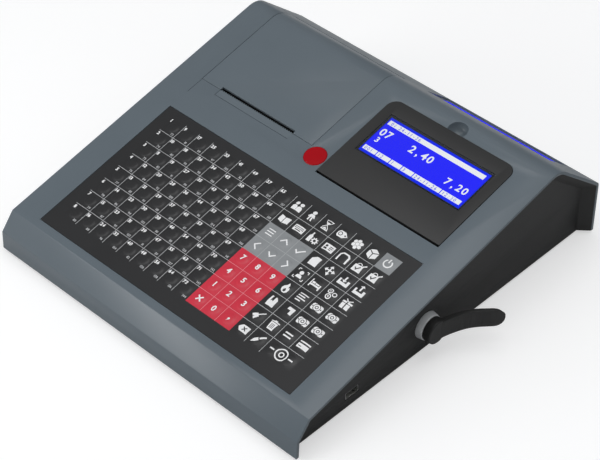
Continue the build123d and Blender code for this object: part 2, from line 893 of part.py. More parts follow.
with BuildPart() as rubber_feet:
    for x, y in foot_places:
        rod(Plane((x, y, 0)), foot_diameter / 2, foot_height + foot_seat)
    chamfer(rubber_feet.faces().filter_by(Plane.XY).group_by(Axis.Z)[0].edges(), length=0.6)
save(rubber_feet, "rubber_feet")

with BuildPart() as case_screws:
    for x, y in post_places:
        seat = foot_height + case_wall + case_screw_head_height
        rod(Plane((x, y, seat - case_screw_head_height)), case_screw_head / 2, case_screw_head_height)
        rod(Plane((x, y, seat)), case_screw_diameter / 2, post_top + case_screw_reach - 1 - seat)
        with Locations((x, y, seat - case_screw_head_height)):
            Box(case_screw_head * 0.7, 0.8, 2, mode=Mode.SUBTRACT)
            Box(0.8, case_screw_head * 0.7, 2, mode=Mode.SUBTRACT)
save(case_screws, "case_screws")

# ---------------------------------------------------------------- keyboard

# One sealed film covers every key, with a shallow dimple over each dome switch
dimple_round = (dimple_diameter ** 2 / 4 + dimple_depth ** 2) / 2 / dimple_depth
dimple_mouth = sqrt(2 * dimple_round * 2 * dimple_depth - 4 * dimple_depth ** 2)
with BuildPart() as dimple:
    with BuildSketch(Plane.XZ):
        with BuildLine():
            ThreePointArc((0, -dimple_depth), (dimple_diameter / 2, 0), (dimple_mouth, dimple_depth))
            Polyline((dimple_mouth, dimple_depth), (dimple_mouth, 1), (0, 1), (0, -dimple_depth))
        make_face()
    revolve(axis=Axis.Z)

with BuildPart() as keyboard_film:
    with BuildSketch(deck_plane(0, keyboard_along, mat_top)):
        RectangleRounded(keyboard_width, keyboard_length, film_corner)
    extrude(amount=film_thickness)
    with Locations(deck_plane(key_grid_shift, key_grid_along, film_top)):
        with GridLocations(key_pitch, key_pitch, key_columns, key_rows):
            add(dimple.part, mode=Mode.SUBTRACT)
save(keyboard_film, "keyboard_film")

with BuildPart() as keyboard_mat:
    slab(
        deck_plane(0, keyboard_along, mat_top), window_w - 2 * film_gap, window_l - 2 * film_gap,
        mat_thickness,
    )
save(keyboard_mat, "keyboard_mat")

with BuildPart() as keyboard_board:
    slab(
        deck_plane(0, keyboard_along, board_top_in_deck), window_w - 2 * film_gap,
        window_l - 2 * film_gap, board_thickness,
    )
save(keyboard_board, "keyboard_board")

with BuildPart() as keyboard_backing:
    slab(deck_plane(0, keyboard_along, backing_top), rib_w, rib_l, backing_thickness)
    for x, along in backing_screws:
        rod(
            deck_plane(x, along, backing_top - 2 * backing_thickness), screw_clearance,
            3 * backing_thickness, Mode.SUBTRACT,
        )
    # Way out for the keyboard's ribbon cable
    slab(
        deck_plane(backing_screw_x - ribbon_width, keyboard_along, backing_top + 1),
        ribbon_slot_width, backing_slot_length, 2 * backing_thickness + 1, Mode.SUBTRACT,
    )
save(keyboard_backing, "keyboard_backing")

# ---------------------------------------------------------------- small screws, all of one size

with BuildPart() as small_screw:
    Cylinder(screw_head / 2, screw_head_height, align=(Align.CENTER, Align.CENTER, Align.MAX))
    fillet(small_screw.edges().group_by(Axis.Z)[0], radius=screw_head_height * 0.45)
    Cylinder(screw_diameter / 2, screw_length, align=(Align.CENTER, Align.CENTER, Align.MIN))
    with Locations((0, 0, -screw_head_height)):
        Box(screw_head * 0.6, 0.6, 1.4, mode=Mode.SUBTRACT)
        Box(0.6, screw_head * 0.6, 1.4, mode=Mode.SUBTRACT)

# ---------------------------------------------------------------- operator display

glass_w = window_width + 2 * glass_margin
glass_h = window_height + 2 * glass_margin
housing_front_along = display_front + housing_front
housing_back_along = display_back_edge - housing_inset
housing_length = housing_back_along - housing_front_along
housing_along = (housing_front_along + housing_back_along) / 2

# The well's hinge ears stand in notches under the bezel's front corners
notch_top = -hinge_depth + hinge_ear_radius + 0.2
notch_inner = well_half - 0.6
notch_half = (bezel_width / 2 + notch_inner) / 2
notch_width = bezel_width / 2 - notch_inner
hinge_spot = on_deck(hinge_along, -hinge_depth)
panel_top = bezel_rise - glass_thickness - 0.2
panel_frame_top = bezel_underside - 0.4
panel_frame_thickness = 2.6
panel_board_width = glass_w - 6.0
panel_board_length = 58.0
panel_board_along = window_along - 4.0
panel_board_top = panel_frame_top - panel_frame_thickness
pillar = 6.0
pillar_x = housing_half - housing_wall - pillar / 2
pillar_y = housing_length / 2 - housing_wall - pillar / 2
pillars = [(sx * pillar_x, sy * pillar_y) for sx in (-1, 1) for sy in (-1, 1)]
back_seat = -housing_split - 2.0
ribbon_slot_along = display_front + ribbon_slot_in

with BuildPart() as display_bezel:
    with BuildSketch(deck_plane(display_x, display_along, bezel_underside)):
        Rectangle(bezel_width, bezel_length)
        fillet(vertices().group_by(Axis.Y)[-1], radius=bezel_corner)
    extrude(amount=bezel_thickness)
    # Skirt that holds the panel, with a pillar in each corner for the back cover's screws
    slab(
        deck_plane(display_x, housing_along, bezel_underside), 2 * housing_half, housing_length,
        housing_split + bezel_underside,
    )
    slab(
        deck_plane(display_x, housing_along, bezel_underside), 2 * (housing_half - housing_wall),
        housing_length - 2 * housing_wall, housing_split, Mode.SUBTRACT,
    )
    for x, y in pillars:
        slab(
            deck_plane(display_x + x, housing_along + y, bezel_underside), pillar, pillar,
            housing_split + bezel_underside,
        )
        rod(
            deck_plane(display_x + x, housing_along + y, -housing_split), small_pilot, screw_length,
            Mode.SUBTRACT,
        )
    # Hinge lugs in the front corners
    for start in (display_x - housing_half, display_x + housing_half - hinge_pin_length):
        rod(cross_plane(start, hinge_spot), hinge_ear_radius, hinge_pin_length)
    # Glass seat and the window under it
    slab(
        deck_plane(display_x, window_along, bezel_rise + 1), glass_w, glass_h, 1 + glass_thickness,
        Mode.SUBTRACT,
    )
    slab(
        deck_plane(display_x, window_along, bezel_rise), window_width, window_height,
        2 * bezel_thickness, Mode.SUBTRACT,
    )
    # Room for the well's hinge ears, and the bores for the pins
    for side in (-1, 1):
        slab(
            deck_plane(display_x + side * notch_half, display_front, notch_top), notch_width,
            4 * hinge_from_edge, bezel_thickness, Mode.SUBTRACT,
        )
    rod(
        cross_plane(display_x - bezel_width, hinge_spot), hinge_pin_diameter / 2 + running_fit,
        2 * bezel_width, Mode.SUBTRACT,
    )
save(display_bezel, "display_bezel")

with BuildPart() as display_glass:
    slab(
        deck_plane(display_x, window_along, bezel_rise - 0.05), glass_w - 0.2, glass_h - 0.2,
        glass_thickness - 0.05,
    )
save(display_glass, "display_glass")

with BuildPart() as display_panel:
    slab(
        deck_plane(display_x, window_along, panel_top), window_width - 0.4, window_height - 0.4,
        panel_top - panel_frame_top,
    )
    slab(deck_plane(display_x, window_along, panel_frame_top), glass_w, glass_h, panel_frame_thickness)
    slab(
        deck_plane(display_x, panel_board_along, panel_board_top), panel_board_width,
        panel_board_length, board_thickness,
    )
    # Chips on the back of the board
    with Locations(deck_plane(display_x, panel_board_along, panel_board_top - board_thickness - 0.5)):
        with GridLocations(24, 20, 4, 2):
            Box(10, 7, 1)
save(display_panel, "display_panel")

with BuildPart() as display_back:
    slab(
        deck_plane(display_x, housing_along, -housing_split), 2 * housing_half, housing_length,
        housing_depth - housing_split,
    )
    slab(
        deck_plane(display_x, housing_along, -housing_split), 2 * (housing_half - housing_wall),
        housing_length - 2 * housing_wall, housing_depth - housing_split - housing_wall, Mode.SUBTRACT,
    )
    for x, y in pillars:
        slab(
            deck_plane(display_x + x, housing_along + y, -housing_split), pillar, pillar,
            housing_depth - housing_split,
        )
        rod(
            deck_plane(display_x + x, housing_along + y, -housing_depth - 1), small_pilot,
            housing_depth, Mode.SUBTRACT,
        )
        rod(
            deck_plane(display_x + x, housing_along + y, -housing_depth - 1), screw_head / 2 + 0.2,
            housing_depth + 1 + back_seat, Mode.SUBTRACT,
        )
    # Way out for the ribbon cable
    slab(
        deck_plane(display_x, ribbon_slot_along, -housing_split), ribbon_slot_width,
        ribbon_slot_length, housing_depth, Mode.SUBTRACT,
    )
save(display_back, "display_back")

with BuildPart() as display_screws:
    for x, y in pillars:
        with Locations(deck_plane(display_x + x, housing_along + y, back_seat)):
            add(small_screw.part)
save(display_screws, "display_screws")

with BuildPart() as display_hinge_pins:
    for start in (display_x - well_outer_half, display_x + well_outer_half - hinge_pin_length):
        rod(cross_plane(start, hinge_spot), hinge_pin_diameter / 2, hinge_pin_length)
save(display_hinge_pins, "display_hinge_pins")

# Tray that the display folds down into
well_top = -cover_wall - 0.3
ear_clear_top = -hinge_depth - hinge_from_edge - 1.5
ear_half = 1.3
with BuildPart() as display_well:
    slab(
        deck_plane(display_x, well_middle, well_top), 2 * well_outer_half, well_length + 2 * well_wall,
        well_depth + well_top,
    )
    slab(
        deck_plane(display_x, well_middle, well_top), 2 * well_half, well_length,
        well_depth + well_top - well_wall, Mode.SUBTRACT,
    )
    # Side walls are lower beside the hinge ears
    slab(
        deck_plane(display_x, well_front + 5, well_top + 1), 2 * well_outer_half, 10,
        1 + well_top - ear_clear_top, Mode.SUBTRACT,
    )
    slab(
        deck_plane(display_x, well_front - well_wall / 2, well_top), 2 * well_outer_half, well_wall,
        2 * well_wall,
    )
    for start in (display_x - well_outer_half, display_x + well_half):
        rod(cross_plane(start, hinge_spot), hinge_ear_radius, well_wall)
        slab(
            deck_plane(start + well_wall / 2, hinge_along, -hinge_depth), well_wall, 2 * ear_half,
            -ear_clear_top,
        )
    rod(
        cross_plane(display_x - bezel_width, hinge_spot), hinge_pin_diameter / 2 + press_fit,
        2 * bezel_width, Mode.SUBTRACT,
    )
    # Lugs screwed to the deck's bosses
    for x, along in lug_places:
        slab(deck_plane(x, along, -cover_wall - boss_drop), well_lug, well_lug, lug_thickness)
        rod(deck_plane(x, along, -well_depth), screw_clearance, well_depth, Mode.SUBTRACT)
    # Clearance for the finger cup, and the way in for the ribbon cable
    with Locations(deck_plane(display_x, finger_along)):
        Sphere(finger_radius + finger_cup_wall + 0.3, mode=Mode.SUBTRACT)
    slab(
        deck_plane(display_x, ribbon_slot_along, -well_depth + well_wall + 1), ribbon_slot_width,
        ribbon_slot_length, 2 * well_wall + 1, Mode.SUBTRACT,
    )
save(display_well, "display_well")

# ---------------------------------------------------------------- printer lid

arm_spot = [lid_x - arm_inner - arm_thickness, lid_x + arm_inner]
with BuildPart() as paper_lid:
    with BuildSketch(Plane.YZ.offset(lid_x - lid_half)):
        add(case_section(0, foot_height))
        add(case_section(cover_wall, foot_height), mode=Mode.SUBTRACT)
        add(outline(*lid_stretch), mode=Mode.INTERSECT)
        with Locations(lid_hinge):
            Circle(lid_barrel_radius)
    extrude(amount=2 * lid_half)
    # Flanges down both sides
    for x in (lid_x - lid_half, lid_x + lid_half - lid_flange):
        with BuildSketch(Plane.YZ.offset(x)):
            add(case_section(cover_wall / 2, foot_height))
            add(case_section(cover_wall + lid_flange_depth, foot_height), mode=Mode.SUBTRACT)
            add(outline(
                on_deck(lid_along, -2 * lid_flange_depth),
                on_deck(lid_along, cover_wall),
                crest + Vector(0, crest_radius),
                on_slope(lid_hinge_along, cover_wall),
                on_slope(lid_hinge_along - lid_barrel_radius, -2 * lid_flange_depth),
            ), mode=Mode.INTERSECT)
        extrude(amount=lid_flange)
    # Arms that carry the platen
    for x in arm_spot:
        with BuildSketch(Plane.YZ.offset(x)):
            add(outline(
                on_deck(platen_along - arm_half_width, -cover_wall / 2),
                on_deck(platen_along + arm_half_width, -cover_wall / 2),
                on_deck(platen_along + arm_half_width, -platen_below),
                on_deck(platen_along - arm_half_width, -platen_below),
            ))
            with Locations(platen):
                Circle(arm_half_width)
                Circle(bush_diameter / 2 + 0.02, mode=Mode.SUBTRACT)
        extrude(amount=arm_thickness)
    # Ticket slot in the front edge
    slab(deck_plane(lid_x, lid_along, 1), slot_width, 2 * slot_depth, 2 * cover_wall, Mode.SUBTRACT)
    # Bores for the hinge pins
    bore_depth = lid_pin_length - lid_ear_width - lid_ear_gap - lid_gap + 0.4
    for x in (lid_x - lid_half - 1, lid_x + lid_half - bore_depth):
        rod(cross_plane(x, lid_hinge), lid_pin_diameter / 2 + running_fit, bore_depth + 1, Mode.SUBTRACT)
save(paper_lid, "paper_lid")

with BuildPart() as lid_hinge_pins:
    for x in (lid_x - ear_inner - lid_ear_width, lid_x + ear_inner + lid_ear_width - lid_pin_length):
        rod(cross_plane(x, lid_hinge), lid_pin_diameter / 2, lid_pin_length)
save(lid_hinge_pins, "lid_hinge_pins")

with BuildPart() as tear_bar:
    bar_front = lid_along - lid_gap - tear_bar_length
    tooth_tip = lid_along - lid_gap + tear_tooth_depth
    teeth = int(slot_width / tear_tooth_pitch)
    bar_half = slot_half - 0.1
    with BuildSketch(deck_plane(lid_x, bar_front, -tear_bar_recess - tear_bar_thickness)):
        with Locations((0, tear_bar_length / 2)):
            Rectangle(2 * bar_half, tear_bar_length)
        with Locations((0, tear_bar_length)):
            with GridLocations(tear_tooth_pitch, 0, teeth - 1, 1):
                Polygon(
                    (-tear_tooth_pitch / 2 + 0.05, 0), (tear_tooth_pitch / 2 - 0.05, 0),
                    (0, tear_tooth_depth), align=None,
                )
    extrude(amount=tear_bar_thickness)
save(tear_bar, "tear_bar")

# ---------------------------------------------------------------- platen and gears


def gear_sketch(teeth, phase, bore):
    """Spur gear with involute flanks thinned for backlash. A tooth points along phase, in degrees."""
    pitch_radius = gear_module * teeth / 2
    base_radius = pitch_radius * cos(radians(20))
    root_radius = pitch_radius - 1.25 * gear_module
    tip_radius = pitch_radius + 0.9 * gear_module
    involute = tan(radians(20)) - radians(20)
    half_at_pitch = pi / 2 / teeth - gear_backlash / 2 / pitch_radius
    flank = []
    for share in (0, 0.4, 0.7, 1):
        radius = max(base_radius, root_radius) + share * (tip_radius - max(base_radius, root_radius))
        pressure = acos(min(1, base_radius / radius))
        flank.append((radius, half_at_pitch + involute - tan(pressure) + pressure))
    if root_radius < base_radius:
        flank.insert(0, (root_radius, flank[0][1]))
    points = []
    for tooth in range(teeth):
        middle = radians(phase) + 2 * pi * tooth / teeth
        for side, run in ((-1, flank), (1, flank[::-1])):
            points += [Vector(r * cos(middle + side * a), r * sin(middle + side * a)) for r, a in run]
    with BuildSketch() as gear:
        with BuildLine():
            Polyline(*points, close=True)
        make_face()
        Circle(bore, mode=Mode.SUBTRACT)
    return gear.sketch


def direction(start, end):
    """Direction from one section point to another, in degrees from the case's Y."""
    return degrees(atan2(end.Y - start.Y, end.X - start.X))


# Each gear's phase puts a gap of one gear over a tooth of the next on the line between them
to_idler = direction(platen, idler)
to_pinion = direction(idler, pinion)
platen_phase = to_idler
idler_phase = to_idler + 180 + 180 / idler_teeth
idler_pitch = 360 / idler_teeth
lead = ((to_pinion - idler_phase) / idler_pitch) % 1
pinion_phase = to_pinion + 180 + (lead + 0.5) * 360 / pinion_teeth

with BuildPart() as platen_shaft:
    rod(cross_plane(lid_x - shaft_half_length, platen), shaft_diameter / 2, 2 * shaft_half_length)
    chamfer(platen_shaft.edges().filter_by(GeomType.CIRCLE), length=0.5)
save(platen_shaft, "platen_shaft")

with BuildPart() as platen_rubber:
    rod(cross_plane(lid_x - platen_length / 2, platen), platen_radius, platen_length)
    rod(
        cross_plane(lid_x - platen_length / 2, platen), shaft_diameter / 2 + press_fit, platen_length,
        Mode.SUBTRACT,
    )
save(platen_rubber, "platen_rubber")

with BuildPart() as platen_bushes:
    for x in arm_spot:
        rod(cross_plane(x, platen), bush_diameter / 2, arm_thickness)
        rod(cross_plane(x, platen), shaft_diameter / 2 + running_fit, arm_thickness, Mode.SUBTRACT)
save(platen_bushes, "platen_bushes")

with BuildPart() as platen_gear:
    with BuildSketch(cross_plane(gear_x, platen)):
        add(gear_sketch(platen_teeth, platen_phase, shaft_diameter / 2 + press_fit))
    extrude(amount=gear_width)
save(platen_gear, "platen_gear")

with BuildPart() as idler_gear:
    with BuildSketch(cross_plane(gear_x, idler)):
        add(gear_sketch(idler_teeth, idler_phase, idler_stud_diameter / 2 + running_fit))
    extrude(amount=gear_width)
    with BuildSketch(cross_plane(gear_x + gear_width, idler)):
        Circle(idler_stud_diameter)
        Circle(idler_stud_diameter / 2 + running_fit, mode=Mode.SUBTRACT)
    extrude(amount=gear_from_frame - 0.2)
    # Web between rim and hub is thinned from the outside
    with BuildSketch(cross_plane(gear_x, idler)):
        Circle(idler_pitch_radius - 3 * gear_module)
        Circle(idler_stud_diameter + 0.6, mode=Mode.SUBTRACT)
    extrude(amount=gear_width / 3, mode=Mode.SUBTRACT)
save(idler_gear, "idler_gear")

with BuildPart() as idler_stud:
    rod(
        cross_plane(gear_x - 0.2, idler), idler_stud_diameter / 2,
        gear_width + gear_from_frame + frame_wall + 0.2,
    )
    rod(cross_plane(gear_x - 1, idler), idler_stud_diameter / 2 + 1, 0.8)
save(idler_stud, "idler_stud")

with BuildPart() as motor_pinion:
    with BuildSketch(cross_plane(gear_x, pinion)):
        add(gear_sketch(pinion_teeth, pinion_phase, motor_shaft_diameter / 2 + press_fit))
    extrude(amount=gear_width)
save(motor_pinion, "motor_pinion")

frame_left_inner = lid_x - frame_inner
frame_left_outer = lid_x - frame_outer
motor_ear = motor_radius + motor_ear_reach
across = direction(idler, pinion) + 90
ear_steps = [Vector(cos(radians(across)), sin(radians(across))) * (side * motor_ear) for side in (-1, 1)]

with BuildPart() as motor_can:
    rod(cross_plane(frame_left_inner, pinion), motor_radius, motor_length)
    chamfer(motor_can.edges().group_by(Axis.X)[-1], length=0.8)
    rod(cross_plane(frame_left_inner - 1.5, pinion), motor_boss_radius, 1.6)
    for step in ear_steps:
        rod(cross_plane(frame_left_inner, pinion + step), motor_ear_radius, motor_ear_thickness)
        with BuildSketch(cross_plane(frame_left_inner, pinion + step * 0.7)):
            Rectangle(2 * motor_ear_radius, motor_radius, rotation=across + 90)
        extrude(amount=motor_ear_thickness)
        rod(cross_plane(frame_left_inner, pinion + step), screw_clearance, motor_ear_thickness, Mode.SUBTRACT)
    rod(
        cross_plane(frame_left_inner - 2, pinion), motor_shaft_diameter / 2 + running_fit,
        motor_length + 3, Mode.SUBTRACT,
    )
save(motor_can, "motor_can")

with BuildPart() as motor_shaft:
    rod(cross_plane(gear_x - 0.5, pinion), motor_shaft_diameter / 2, frame_left_inner + motor_length - gear_x)
save(motor_shaft, "motor_shaft")

# ---------------------------------------------------------------- printer frame and print head

# Directions in the section, in degrees from the case's Y
head_angle = head_direction + deck_tilt
web_radius = platen_radius + paper_gap / 2
roll_reach = roll_radius + paper_thickness / 2 + paper_clear


def toward(angle, distance):
    """Step in the section, in a direction given in degrees."""
    return Vector(cos(radians(angle)), sin(radians(angle))) * distance


def by_head(out, up):
    """Section point beside the platen: out along the print head's facing, up along its face."""
    return platen + toward(head_angle, out) + toward(head_angle - 90, up)


def plank(out, up, thickness, below, above):
    """Rectangle behind the print head's face, as a closed sketch."""
    return outline(
        by_head(out, up - below), by_head(out, up + above), by_head(out + thickness, up + above),
        by_head(out + thickness, up - below),
    )


# The paper leaves the roll and meets the platen along their common tangent
web_lean = degrees(acos((roll_reach - web_radius) / (platen - roll).length))
web_angle = direction(roll, platen) + web_lean
roll_leave = roll + toward(web_angle, roll_reach)
platen_meet = platen + toward(web_angle, web_radius)
slot_exit = on_deck(slot_exit_along, -slot_exit_below)
platen_leave_angle = direction(platen, slot_exit) + degrees(acos(web_radius / (slot_exit - platen).length))
platen_leave = platen + toward(platen_leave_angle, web_radius)
web_middle = platen + toward((web_angle + platen_leave_angle) / 2, web_radius)
sink_out = platen_radius + paper_gap + head_thickness
spring_out = sink_out + sink_thickness
seat_out = spring_out + head_spring_length
lift = direction(platen, lid_hinge) + 90
frame_front = on_deck(frame_front_along, -latch_below)

with BuildPart() as printer_frame:
    for x in (lid_x - frame_outer, lid_x + frame_inner):
        with BuildSketch(Plane.YZ.offset(x)):
            add(outline(
                Vector(frame_front.X, floor_top),
                frame_front,
                on_deck(frame_front_along, -frame_shoulder),
                on_deck(frame_front_along + frame_shoulder, -frame_top_gap),
                on_deck(frame_back_along, -frame_top_gap),
                lid_hinge - Vector(frame_hinge_gap, -lid_barrel_radius),
                Vector(frame_back_y, roll.Y + 10),
                Vector(frame_back_y, floor_top),
            ))
            # Notch that lets the platen's shaft out when the lid is raised
            half = shaft_diameter / 2 + notch_gap
            with Locations(platen):
                Circle(half, mode=Mode.SUBTRACT)
            add(outline(
                platen + toward(lift + 90, half),
                platen + toward(lift - 90, half),
                platen + toward(lift - 90, half + notch_flare) + toward(lift, 2 * platen_below),
                platen + toward(lift + 90, half + notch_flare) + toward(lift, 2 * platen_below),
            ), mode=Mode.SUBTRACT)
            with Locations(latch):
                Circle(latch_shaft_diameter / 2 + running_fit, mode=Mode.SUBTRACT)
        extrude(amount=frame_wall)
    # Trough under the roll, and the wall in front of the paper
    with BuildSketch(Plane.YZ.offset(lid_x - frame_outer)):
        with Locations(roll):
            Circle(trough_radius + trough_wall)
            Circle(trough_radius, mode=Mode.SUBTRACT)
        add(outline(
            roll,
            roll + toward(web_angle, 2 * trough_radius),
            roll + toward(trough_back_angle - 180, 3 * trough_radius),
            roll + toward(trough_back_angle - 90, 3 * trough_radius),
            roll + toward(trough_back_angle, 2 * trough_radius),
        ), mode=Mode.INTERSECT)
        wall_front = roll + toward(web_angle, trough_radius + trough_wall)
        wall_back = roll + toward(web_angle, trough_radius)
        rise = toward(web_angle - 90, trough_front_rise)
        add(outline(wall_front, wall_back, wall_back + rise, wall_front + rise))
        # Beam that the print head's springs push against
        add(plank(seat_out, 0, seat_thickness, head_below, head_above))
    extrude(amount=2 * frame_outer)
    for x, y in frame_feet:
        block(
            (x - frame_foot / 2, y - frame_foot / 2, floor_top),
            (x + frame_foot / 2, y + frame_foot / 2, floor_top + frame_foot_thickness),
        )
        rod(Plane((x, y, floor_top - 1)), screw_clearance, frame_foot_thickness + 2, Mode.SUBTRACT)
    # Holes in the left plate for the motor, its screws and the idler's stud
    rod(
        cross_plane(lid_x - frame_outer - 1, pinion), motor_boss_radius + running_fit, frame_wall + 2,
        Mode.SUBTRACT,
    )
    rod(cross_plane(lid_x - frame_outer - 1, idler), idler_stud_diameter / 2, frame_wall + 1, Mode.SUBTRACT)
    for step in ear_steps:
        rod(cross_plane(lid_x - frame_outer - 1, pinion + step), small_pilot, frame_wall + 1.5, Mode.SUBTRACT)
save(printer_frame, "printer_frame")

with BuildPart() as print_head:
    with BuildSketch(Plane.YZ.offset(lid_x - head_width / 2)):
        add(plank(platen_radius + paper_gap, 0, head_thickness, head_below, head_above))
    extrude(amount=head_width)
save(print_head, "print_head")

with BuildPart() as head_heat_sink:
    with BuildSketch(Plane.YZ.offset(lid_x - frame_inner + 0.2)):
        add(plank(sink_out, 0, sink_thickness, head_below, head_above))
    extrude(amount=2 * frame_inner - 0.4)
save(head_heat_sink, "head_heat_sink")

spring_direction = toward(head_angle + 180, 1)
with BuildPart() as head_springs:
    for x in (lid_x - head_width / 3, lid_x + head_width / 3):
        seat = by_head(seat_out, 0)
        seat_plane = Plane(
            origin=(x, seat.X, seat.Y), x_dir=(1, 0, 0),
            z_dir=(0, spring_direction.X, spring_direction.Y),
        )
        add(coil(seat_plane, head_spring_radius, head_spring_wire, head_spring_length, head_spring_turns))
save(head_springs, "head_springs")

with BuildPart() as paper_roll:
    rod(cross_plane(lid_x - roll_width / 2, roll), roll_radius, roll_width)
    rod(cross_plane(lid_x - roll_width / 2, roll), core_radius, roll_width, Mode.SUBTRACT)
save(paper_roll, "paper_roll")

with BuildPart() as roll_core:
    rod(cross_plane(lid_x - roll_width / 2, roll), core_radius, roll_width)
    rod(cross_plane(lid_x - roll_width / 2, roll), core_bore, roll_width, Mode.SUBTRACT)
save(roll_core, "roll_core")

with BuildPart() as paper_web:
    with BuildSketch(Plane.YZ.offset(lid_x - web_width / 2)):
        with BuildLine():
            Line(roll_leave, platen_meet)
            ThreePointArc(platen_meet, web_middle, platen_leave)
            Line(platen_leave, slot_exit)
        trace(line_width=paper_thickness)
    extrude(amount=web_width)
save(paper_web, "paper_web")

# ---------------------------------------------------------------- latch and red button

hook_starts = [lid_x - hook_inner - hook_thickness, lid_x + hook_inner]
shaft_top = -platen_below + shaft_diameter / 2 + hook_gap
hook_back = platen_along - shaft_diameter / 2 - notch_gap
button_plane_x = button_x + button_foot_width / 2
lever_x = button_x - button_foot_width / 2 - lever_gap - lever_thickness
nose_along = latch_along - latch_arm
button_foot_front = nose_along - button_foot_past_nose
nose_below = latch_below - latch_nose_above
with BuildPart() as latch_bar:
    latch_left = hook_starts[0] - latch_shaft_diameter / 2
    rod(cross_plane(latch_left, latch), latch_shaft_diameter / 2, lever_x + lever_thickness - latch_left)
    for x in hook_starts:
        with BuildSketch(Plane.YZ.offset(x)):
            with Locations(latch):
                Circle(hook_root_radius)
            add(outline(
                on_deck(latch_along + 2, -latch_below - hook_root_radius + 0.5),
                on_deck(hook_back, -platen_below - hook_arm_width),
                on_deck(hook_back, shaft_top),
                on_deck(platen_along - hook_reach, shaft_top),
                on_deck(platen_along - hook_reach, shaft_top + hook_nose),
                on_deck(platen_along - hook_reach - hook_nose, shaft_top + 1.5 * hook_nose),
                on_deck(hook_back - hook_arm_width, shaft_top + 1.5 * hook_nose),
                on_deck(hook_back - hook_arm_width, -platen_below - 2),
                on_deck(latch_along - 2, -latch_below + hook_root_radius - 0.5),
            ))
        extrude(amount=hook_thickness)
    # Lever with the nose that the button's foot pushes
    with BuildSketch(Plane.YZ.offset(lever_x)):
        with Locations(latch):
            Circle(hook_root_radius)
        with Locations(on_deck(nose_along, -nose_below)):
            Circle(latch_nose_radius)
        add(outline(
            on_deck(latch_along, -latch_below + hook_root_radius - 0.5),
            on_deck(latch_along, -latch_below - hook_root_radius + 0.5),
            on_deck(nose_along, -nose_below - latch_nose_radius),
            on_deck(nose_along, -nose_below + latch_nose_radius),
        ))
    extrude(amount=lever_thickness)
    rod(cross_plane(lever_x, on_deck(nose_along, -nose_below)), latch_nose_radius, button_plane_x - lever_x)
save(latch_bar, "latch_bar")

with BuildPart() as release_button:
    rod(
        deck_plane(button_x, button_along, button_rise - button_thickness), button_diameter / 2,
        button_thickness,
    )
    chamfer(release_button.edges().filter_by(GeomType.CIRCLE).sort_by(Axis.Z)[-1], length=button_dome)
    stem_length = button_foot_below - button_foot_thickness + button_rise - button_thickness
    rod(
        deck_plane(button_x, button_along, -button_foot_below + button_foot_thickness),
        button_stem_diameter / 2, stem_length,
    )
    foot_back = button_along + button_stem_diameter / 2
    slab(
        deck_plane(button_x, (button_foot_front + foot_back) / 2, -button_foot_below + button_foot_thickness),
        button_foot_width, foot_back - button_foot_front, button_foot_thickness,
    )
save(release_button, "release_button")

with BuildPart() as button_spring:
    cup_floor = -button_cup_depth + button_cup_wall
    spring_height = button_rise - button_thickness - cup_floor
    add(
        coil(
            deck_plane(button_x, button_along, cup_floor), button_spring_radius, button_spring_wire,
            spring_height, button_spring_turns,
        ),
    )
save(button_spring, "button_spring")

# ---------------------------------------------------------------- customer display

with BuildPart() as customer_window:
    slab(
        slope_plane(display_x, customer_middle, -customer_recess),
        2 * (customer_half - customer_gap), customer_length - 2 * customer_gap, customer_glass,
    )
save(customer_window, "customer_window")

customer_panel_w = 2 * (customer_half - customer_ledge - customer_gap)
customer_panel_l = customer_length - 2 * (customer_ledge + customer_gap)
with BuildPart() as customer_panel:
    slab(
        slope_plane(display_x, customer_middle, -customer_depth), customer_panel_w, customer_panel_l,
        customer_panel_thickness,
    )
save(customer_panel, "customer_panel")

with BuildPart() as customer_bracket:
    slab(
        slope_plane(display_x, customer_middle, customer_underside), customer_panel_w, customer_panel_l,
        bracket_thickness,
    )
    slab(
        slope_plane(display_x, bracket_boss_along, customer_underside),
        2 * bracket_boss_x + bracket_boss, bracket_boss + 2, bracket_thickness,
    )
    for x in bracket_bosses:
        rod(
            slope_plane(x, bracket_boss_along, customer_underside - 2 * bracket_thickness),
            screw_clearance, 3 * bracket_thickness, Mode.SUBTRACT,
        )
    # Way out for the panel's wires
    slab(
        slope_plane(display_x, customer_middle, customer_underside + 1), 16, 6,
        2 * bracket_thickness + 1, Mode.SUBTRACT,
    )
save(customer_bracket, "customer_bracket")

# ---------------------------------------------------------------- waiter lock and key

with BuildPart() as lock_collar:
    with BuildSketch(cross_plane(side_wall_x, lock_spot)):
        Circle(collar_radius)
    with BuildSketch(cross_plane(side_wall_x + collar_length, lock_spot)):
        Circle(collar_rim_radius)
    loft()
    rod(cross_plane(side_wall_x - spigot_length, lock_spot), spigot_radius, spigot_length)
    rod(
        cross_plane(side_wall_x - spigot_length, lock_spot), collar_bore, spigot_length + collar_length,
        Mode.SUBTRACT,
    )
    fillet(lock_collar.edges().filter_by(GeomType.CIRCLE).group_by(Axis.X)[-1], radius=0.5)
save(lock_collar, "lock_collar")

reader_bore = spigot_radius + lock_gap
with BuildPart() as lock_reader:
    rod(cross_plane(inner_side_x - reader_depth, lock_spot), reader_bore + reader_wall, reader_depth)
    rod(cross_plane(inner_side_x - reader_wall, lock_spot), reader_bore + reader_flange, reader_wall)
    rod(
        cross_plane(inner_side_x - reader_depth + reader_wall, lock_spot), reader_bore, reader_depth,
        Mode.SUBTRACT,
    )
    # Contact pin in the middle
    rod(cross_plane(inner_side_x - reader_depth, lock_spot), contact_radius, reader_wall + contact_length)
    fillet(lock_reader.edges().filter_by(GeomType.CIRCLE).sort_by(Axis.X)[-1], radius=0.3)
save(lock_reader, "lock_reader")

key_face = side_wall_x + collar_length + key_gap
with BuildPart() as key_can:
    rod(cross_plane(key_face - can_length, lock_spot), can_radius, can_length)
    chamfer(key_can.edges().group_by(Axis.X)[0], length=0.8)
save(key_can, "key_can")

